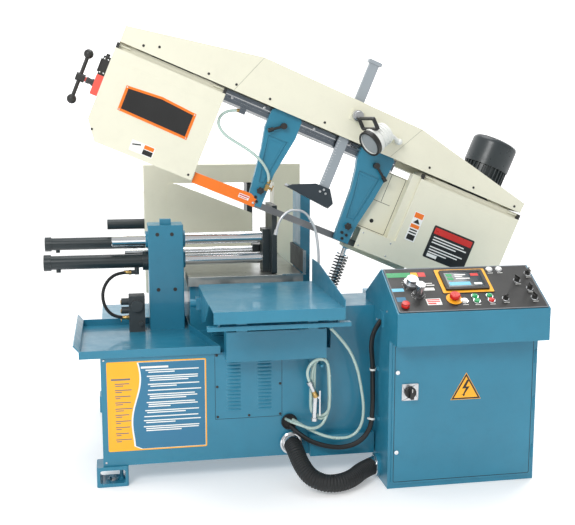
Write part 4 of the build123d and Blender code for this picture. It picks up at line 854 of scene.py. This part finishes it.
# Bright edges of the vise jaws and bed screws
screws("jaw_screws", alloy, "base", RIGHT, [(-100, 790), (0, 790), (-100, 835), (0, 835)], 6, 125, 4,
    "socket")
edge_bm = bmesh.new()
prism(edge_bm, FRONT, [(112.5, 762), (125.5, 762), (125.5, 862), (112.5, 862)], 141.05, 143)
prism(edge_bm, FRONT, [(20, 757), (125, 757), (125, 764), (20, 764)], 146.05, 149)
piece(edge_bm, "jaw_bright_edges", steel, "base", 0.5)


# ---------------------------------------------------------------- console panel
def panel(name, look, outlines, low, high, bevel=0.0):
    return shapes(name, look, "base", PANEL, outlines, low, high, bevel)


PANEL_FACE = 3.0
framed("panel_border", grey_ink, "base", PANEL, rect(-297, 297, -128, 128, 5), rect(-292, 292, -123, 123,
    4), PANEL_FACE + 0.02, PANEL_FACE + 0.5)
panel("colour_bar_green", green_plastic, [rect(-292, -196, 75, 102, 2)], PANEL_FACE + 0.03, PANEL_FACE + 0.6)
panel("colour_bar_orange", yellow, [rect(-194, -168, 75, 102, 2)], PANEL_FACE + 0.03, PANEL_FACE + 0.6)
panel("colour_bar_red", red_plastic, [rect(-166, -137, 75, 102, 2)], PANEL_FACE + 0.03, PANEL_FACE + 0.6)
panel("panel_label_light", light_blue, [rect(-293, -246, -9, 9, 2)], PANEL_FACE + 0.03, PANEL_FACE + 0.6)
panel("panel_label_white", white_card, [rect(-168, -124, -8, 8, 1), rect(-150, -118, 20, 25),
    rect(-150, -124, 32, 36)], PANEL_FACE + 0.03, PANEL_FACE + 0.6)
panel("panel_label_blue", blue, [rect(-288, -252, -68, -42, 2)], PANEL_FACE + 0.03, PANEL_FACE + 0.6)
panel("legend_card", white_card, [rect(-176, -118, -92, -56, 2)], PANEL_FACE + 0.03, PANEL_FACE + 0.6)
panel("legend_rows", red_plastic, [rect(-172, -122, -66, -60), rect(-172, -122, -76, -70),
    rect(-172, -140, -88, -80)], PANEL_FACE + 0.62, PANEL_FACE + 0.9)
ticks = []
for cx, cy, r in ((-208, 31, 36), (-197, -33, 26)):
    for k in range(13):
        a = radians(-45 + 22.5 * k)
        mid = (cx + r * cos(a), cy + r * sin(a))
        if cy < 0 and mid[1] > -4:
            continue
        ticks.append([(mid[0] - 0.7, mid[1] - 2), (mid[0] + 0.7, mid[1] - 2), (mid[0] + 0.7, mid[1] + 2),
            (mid[0] - 0.7, mid[1] + 2)])
for cx, cy in ((282, 72), (223, 32), (258, -18), (139, -73), (257, -73), (-27, -77), (21, -54), (80, -54),
        (80, -80), (132, 104), (172, 104), (21, -80)):
    ticks.append(rect(cx - 11, cx + 11, cy - 20.5, cy - 18))
panel("panel_marks", white_card, ticks, PANEL_FACE + 0.02, PANEL_FACE + 0.35)

SELECTORS = [(282, 72), (223, 32), (258, -18), (139, -73), (257, -73)]
bezel_places = SELECTORS + [(-27, -77), (21, -54), (80, -54), (80, -80), (132, 104), (172, 104), (21, -80)]
turned("control_bezels", chrome, "base", PANEL, bezel_places, [(11.2, PANEL_FACE), (15.2, PANEL_FACE),
    (15.2, 5.2), (14.2, 7.3), (11.4, 7.3), (11.2, PANEL_FACE)])
lever_bm = bmesh.new()
for k, (x, y) in enumerate(SELECTORS):
    a = radians((60, 120, 90, 45, 110)[k])
    dx, dy = cos(a), sin(a)
    bar = [(x - 10 * dx - 3.4 * -dy, y - 10 * dy - 3.4 * dx), (x + 13 * dx - 2.6 * -dy,
        y + 13 * dy - 2.6 * dx), (x + 13 * dx + 2.6 * -dy, y + 13 * dy + 2.6 * dx),
        (x - 10 * dx + 3.4 * -dy, y - 10 * dy + 3.4 * dx)]
    prism(lever_bm, PANEL, bar, 22, 29)
piece(lever_bm, "selector_levers", black_plastic, "base", 0.8)
for name, look, places in (("caps_white", white_card, [(-27, -77), (132, 104), (172, 104)]),
        ("caps_green", green_plastic, [(21, -54), (80, -54)]), ("caps_red", red_plastic, [(80, -80)])):
    turned(name, look, "base", PANEL, places, [(0, 7.05), (10.9, 7.05), (10.9, 11.4), (9.6, 12.2),
        (0, 12.6)])
turned("red_selector", red_plastic, "base", PANEL, [(-264, -92)], [(0, 3.05), (15.6, 3.05), (15.6, 15),
    (14, 18.5), (9, 19.4), (0, 19.6)])
turned("e_stop_ring", yellow, "base", PANEL, [(-64, -64)], [(11, 5.05), (31.4, 5.05), (31.4, 5.9),
    (30.6, 6.4), (11, 6.4), (11, 5.05)], 48)

# Knob skirts and dial faces
for name, body, (x, y), low, high, r in (("pressure_dial", "pressure_knob", (-208, 31), 16.05, 17, 30.4),
        ("feed_dial", "feed_knob", (-197, -33), 12.05, 13, 21)):
    dial_bm = bmesh.new()
    inner = 22.3 if body == "pressure_knob" else 14.3
    lathe(dial_bm, PANEL, x, y, [(inner, low), (r, low), (r, high - 0.4), (r - 0.6, high), (inner, high),
        (inner, low)], 48)
    for k in range(24):
        a = 2 * pi * k / 24
        tick = [(x + (r - 5) * cos(a) - 0.5 * sin(a), y + (r - 5) * sin(a) + 0.5 * cos(a)),
            (x + (r - 1) * cos(a) - 0.5 * sin(a), y + (r - 1) * sin(a) + 0.5 * cos(a)),
            (x + (r - 1) * cos(a) + 0.5 * sin(a), y + (r - 1) * sin(a) - 0.5 * cos(a)),
            (x + (r - 5) * cos(a) + 0.5 * sin(a), y + (r - 5) * sin(a) - 0.5 * cos(a))]
        prism(dial_bm, PANEL, tick, high, high + 0.5)
    piece(dial_bm, name, alloy if body == "pressure_knob" else black_plastic, body, 0)
shapes("pressure_pointer", red_plastic, "pressure_knob", PANEL, [rect(-209, -207, 33, 50)], 34.02, 34.8)

# Touch screen: display with generic fields
framed("screen_border", yellow, "base", PANEL, rect(-96, 110, -29, 111, 4), rect(-82, 96, -17, 99, 5), 5.03,
    5.8)
panel("screen_face", glass, [rect(-66, 80, -2, 84)], 12.02, 12.6)
panel("screen_fields_green", green_plastic, [rect(-60, -36, 60, 76, 1), rect(-60, -36, 38, 54, 1)], 12.65,
    12.8)
panel("screen_fields_white", white_card, [rect(-26, 20, 66, 72), rect(-26, 4, 56, 61),
    rect(-26, 32, 44, 49), rect(40, 72, 8, 20, 1)], 12.65, 12.8)
panel("screen_fields_red", red_plastic, [rect(40, 72, 60, 76, 1)], 12.65, 12.8)
panel("screen_fields_blue", light_blue, [rect(-60, 26, 6, 26, 1)], 12.65, 12.8)

# ---------------------------------------------------------------- console door and sides
DOOR_FRONT = 747
# Press line: a thin dark frame of painted shade where the pressed groove would be.
framed("door_press_line_shade", joint_and_gap_shade, "console_door", FRONT, rect(350, 916, 27, 573, 6),
    rect(352, 914, 29, 571, 5), DOOR_FRONT + 0.02, DOOR_FRONT + 0.4)
framed("switch_plate_face", alloy, "console_door", FRONT, rect(379, 445, 357, 423, 3),
    ring_path(412, 390, 20, 20), 750.02, 750.7)
turned("switch_disc", black_plastic, "main_switch", FRONT, [(412, 390)], [(0, 762.05), (21.4, 762.05),
    (21.4, 763), (20.6, 763.6), (0, 763.6)], 40)
shapes("switch_grip", black_plastic, "main_switch", FRONT, [rect(405, 419, 368, 412, 4)], 763.7, 781, 1)
shapes("switch_pointer", white_card, "main_switch", FRONT, [rect(411, 413, 396, 410)], 781.05, 781.5)
shapes("warning_triangle", yellow, "console_door", FRONT, [[(578, 348), (702, 348), (640, 456)]],
    DOOR_FRONT + 0.05, DOOR_FRONT + 0.7)
framed("triangle_edge", black_card, "console_door", FRONT, [(581, 350), (699, 350), (640, 452)],
    [(591, 355.5), (689, 355.5), (640, 440.5)], DOOR_FRONT + 0.75, DOOR_FRONT + 0.95)
shapes("triangle_bolt", black_card, "console_door", FRONT, [[(644, 428), (624, 392), (640, 393), (628, 368),
    (622, 370), (632, 360), (638, 371), (634, 369), (655, 400), (639, 399), (652, 424)]], DOOR_FRONT + 0.75,
    DOOR_FRONT + 1.0)
lock_bm = bmesh.new()
for z in (150, 470):
    lathe(lock_bm, FRONT, 361, z, [(0, 751.02), (8.6, 751.02), (8.2, 752.4), (4, 752.8), (4, 752),
        (0, 752)], 24)
piece(lock_bm, "door_locks", chrome, "console_door", 0)
screws("console_side_screws", alloy, "base", (Vector((329, 0, 0)), -Y_DIR, Z_DIR, -X_DIR),
    [(700, 700), (560, 640), (560, 60)], 4.5, 0, 2.6, "dome")

# Rims of the grommet and of the conduit
# Grommet mouth: a dark disc of painted shade inside the opening.
turned("grommet_mouth_shade", joint_and_gap_shade, "base", FRONT, [(-20, 224)], [(0, 524.02), (25, 524.02), (25, 524.8),
    (0, 524.8)], 40)
turned("grommet_rim", rubber, "base", FRONT, [(-20, 224)], [(25.2, 524.02), (33, 524.02), (33, 527),
    (30, 530.5), (26.5, 529), (25.2, 524.02)], 40)
turned("conduit_flange_ring", chrome, "base", FRONT, [(-11, 135)], [(36.8, 530.02), (47, 530.02), (47, 533),
    (42, 536), (36.8, 536), (36.8, 530.02)], 48)
gland_bm = bmesh.new()
GLAND = plane_at((315, -612, 52), (-1, 0, 0))
lathe(gland_bm, GLAND, 0, 0, [(36.8, 0.02), (45, 0.02), (45, 4), (41, 7), (36.8, 7), (36.8, 0.02)], 48)
piece(gland_bm, "conduit_gland_ring", chrome, "base", 0)

# Spray gun: brass swivel
gun_bm = bmesh.new()
GUN = plane_at((70, -607, 352), (-20, 0, 46))
lathe(gun_bm, GUN, 0, 0, [(0, -6), (12, -6), (12, 8), (10.4, 10), (10.4, 20), (0, 20)], 24)
piece(gun_bm, "spray_gun_swivel", brass, "base", 0)

# Hydraulic fittings
fit_bm = bmesh.new()
for z in (570, 610, 650):
    spot = plane_at((-672, -76, z), (-1, 0, 0))
    lathe(fit_bm, spot, 0, 0, [(0, 0.02), (9, 0.02), (9, 3), (6, 4), (0, 4)], 20)
piece(fit_bm, "solenoid_nuts", brass, "base", 0)

# ---------------------------------------------------------------- floor, world and light
def staged(name, plane, outline, low, high, look, glow):
    """Plate of the studio, lit a little by itself."""
    bm = bmesh.new()
    prism(bm, plane, outline, low, high)
    data = bpy.data.meshes.new(name)
    bm.to_mesh(data)
    bm.free()
    obj = bpy.data.objects.new(name, data)
    bpy.context.scene.collection.objects.link(obj)
    shader = next(n for n in look.node_tree.nodes if n.type == "BSDF_PRINCIPLED")
    shader.inputs["Emission Color"].default_value = (1, 1, 1, 1)
    shader.inputs["Emission Strength"].default_value = glow
    data.materials.append(look)


pale = finish_of("pale_floor", (0.86, 0.86, 0.86, 1), 0.6, bump=0.05, grain=60, vary=0.01)
staged("floor", TOP, rect(-40000, 40000, -40000, 40000), -60, -0.5, pale, 0.30)

world = bpy.data.worlds.new("studio")
world.use_nodes = True
world.node_tree.nodes["Background"].inputs[0].default_value = (1, 1, 1, 1)
world.node_tree.nodes["Background"].inputs[1].default_value = 0.62
bpy.context.scene.world = world


def area(name, location, target, size, power):
    data = bpy.data.lights.new(name, "AREA")
    data.shape = "RECTANGLE"
    data.size, data.size_y = size
    data.energy = power
    lamp = bpy.data.objects.new(name, data)
    lamp.location = location
    lamp.rotation_euler = (Vector(target) - Vector(location)).to_track_quat("-Z", "Y").to_euler()
    bpy.context.scene.collection.objects.link(lamp)


area("key_light", (-2.6, -4.4, 3.9), (0, -0.2, 0.8), (2.2, 1.8), 150)
area("top_light", (0.4, 0.4, 4.8), (0, 0, 0.8), (3.0, 3.0), 120)
area("rim_light", (3.6, 2.2, 2.8), (0.2, 0, 0.9), (1.6, 2.0), 60)

paper = finish_of("backdrop_paper", (0.9, 0.9, 0.9, 1), 0.8, bump=0.03, grain=40, vary=0.01)
staged("backdrop", FRONT, rect(-30000, 30000, -100, 16000), -14100, -14000, paper, 0.75)
bpy.context.scene.view_settings.view_transform = "Standard"
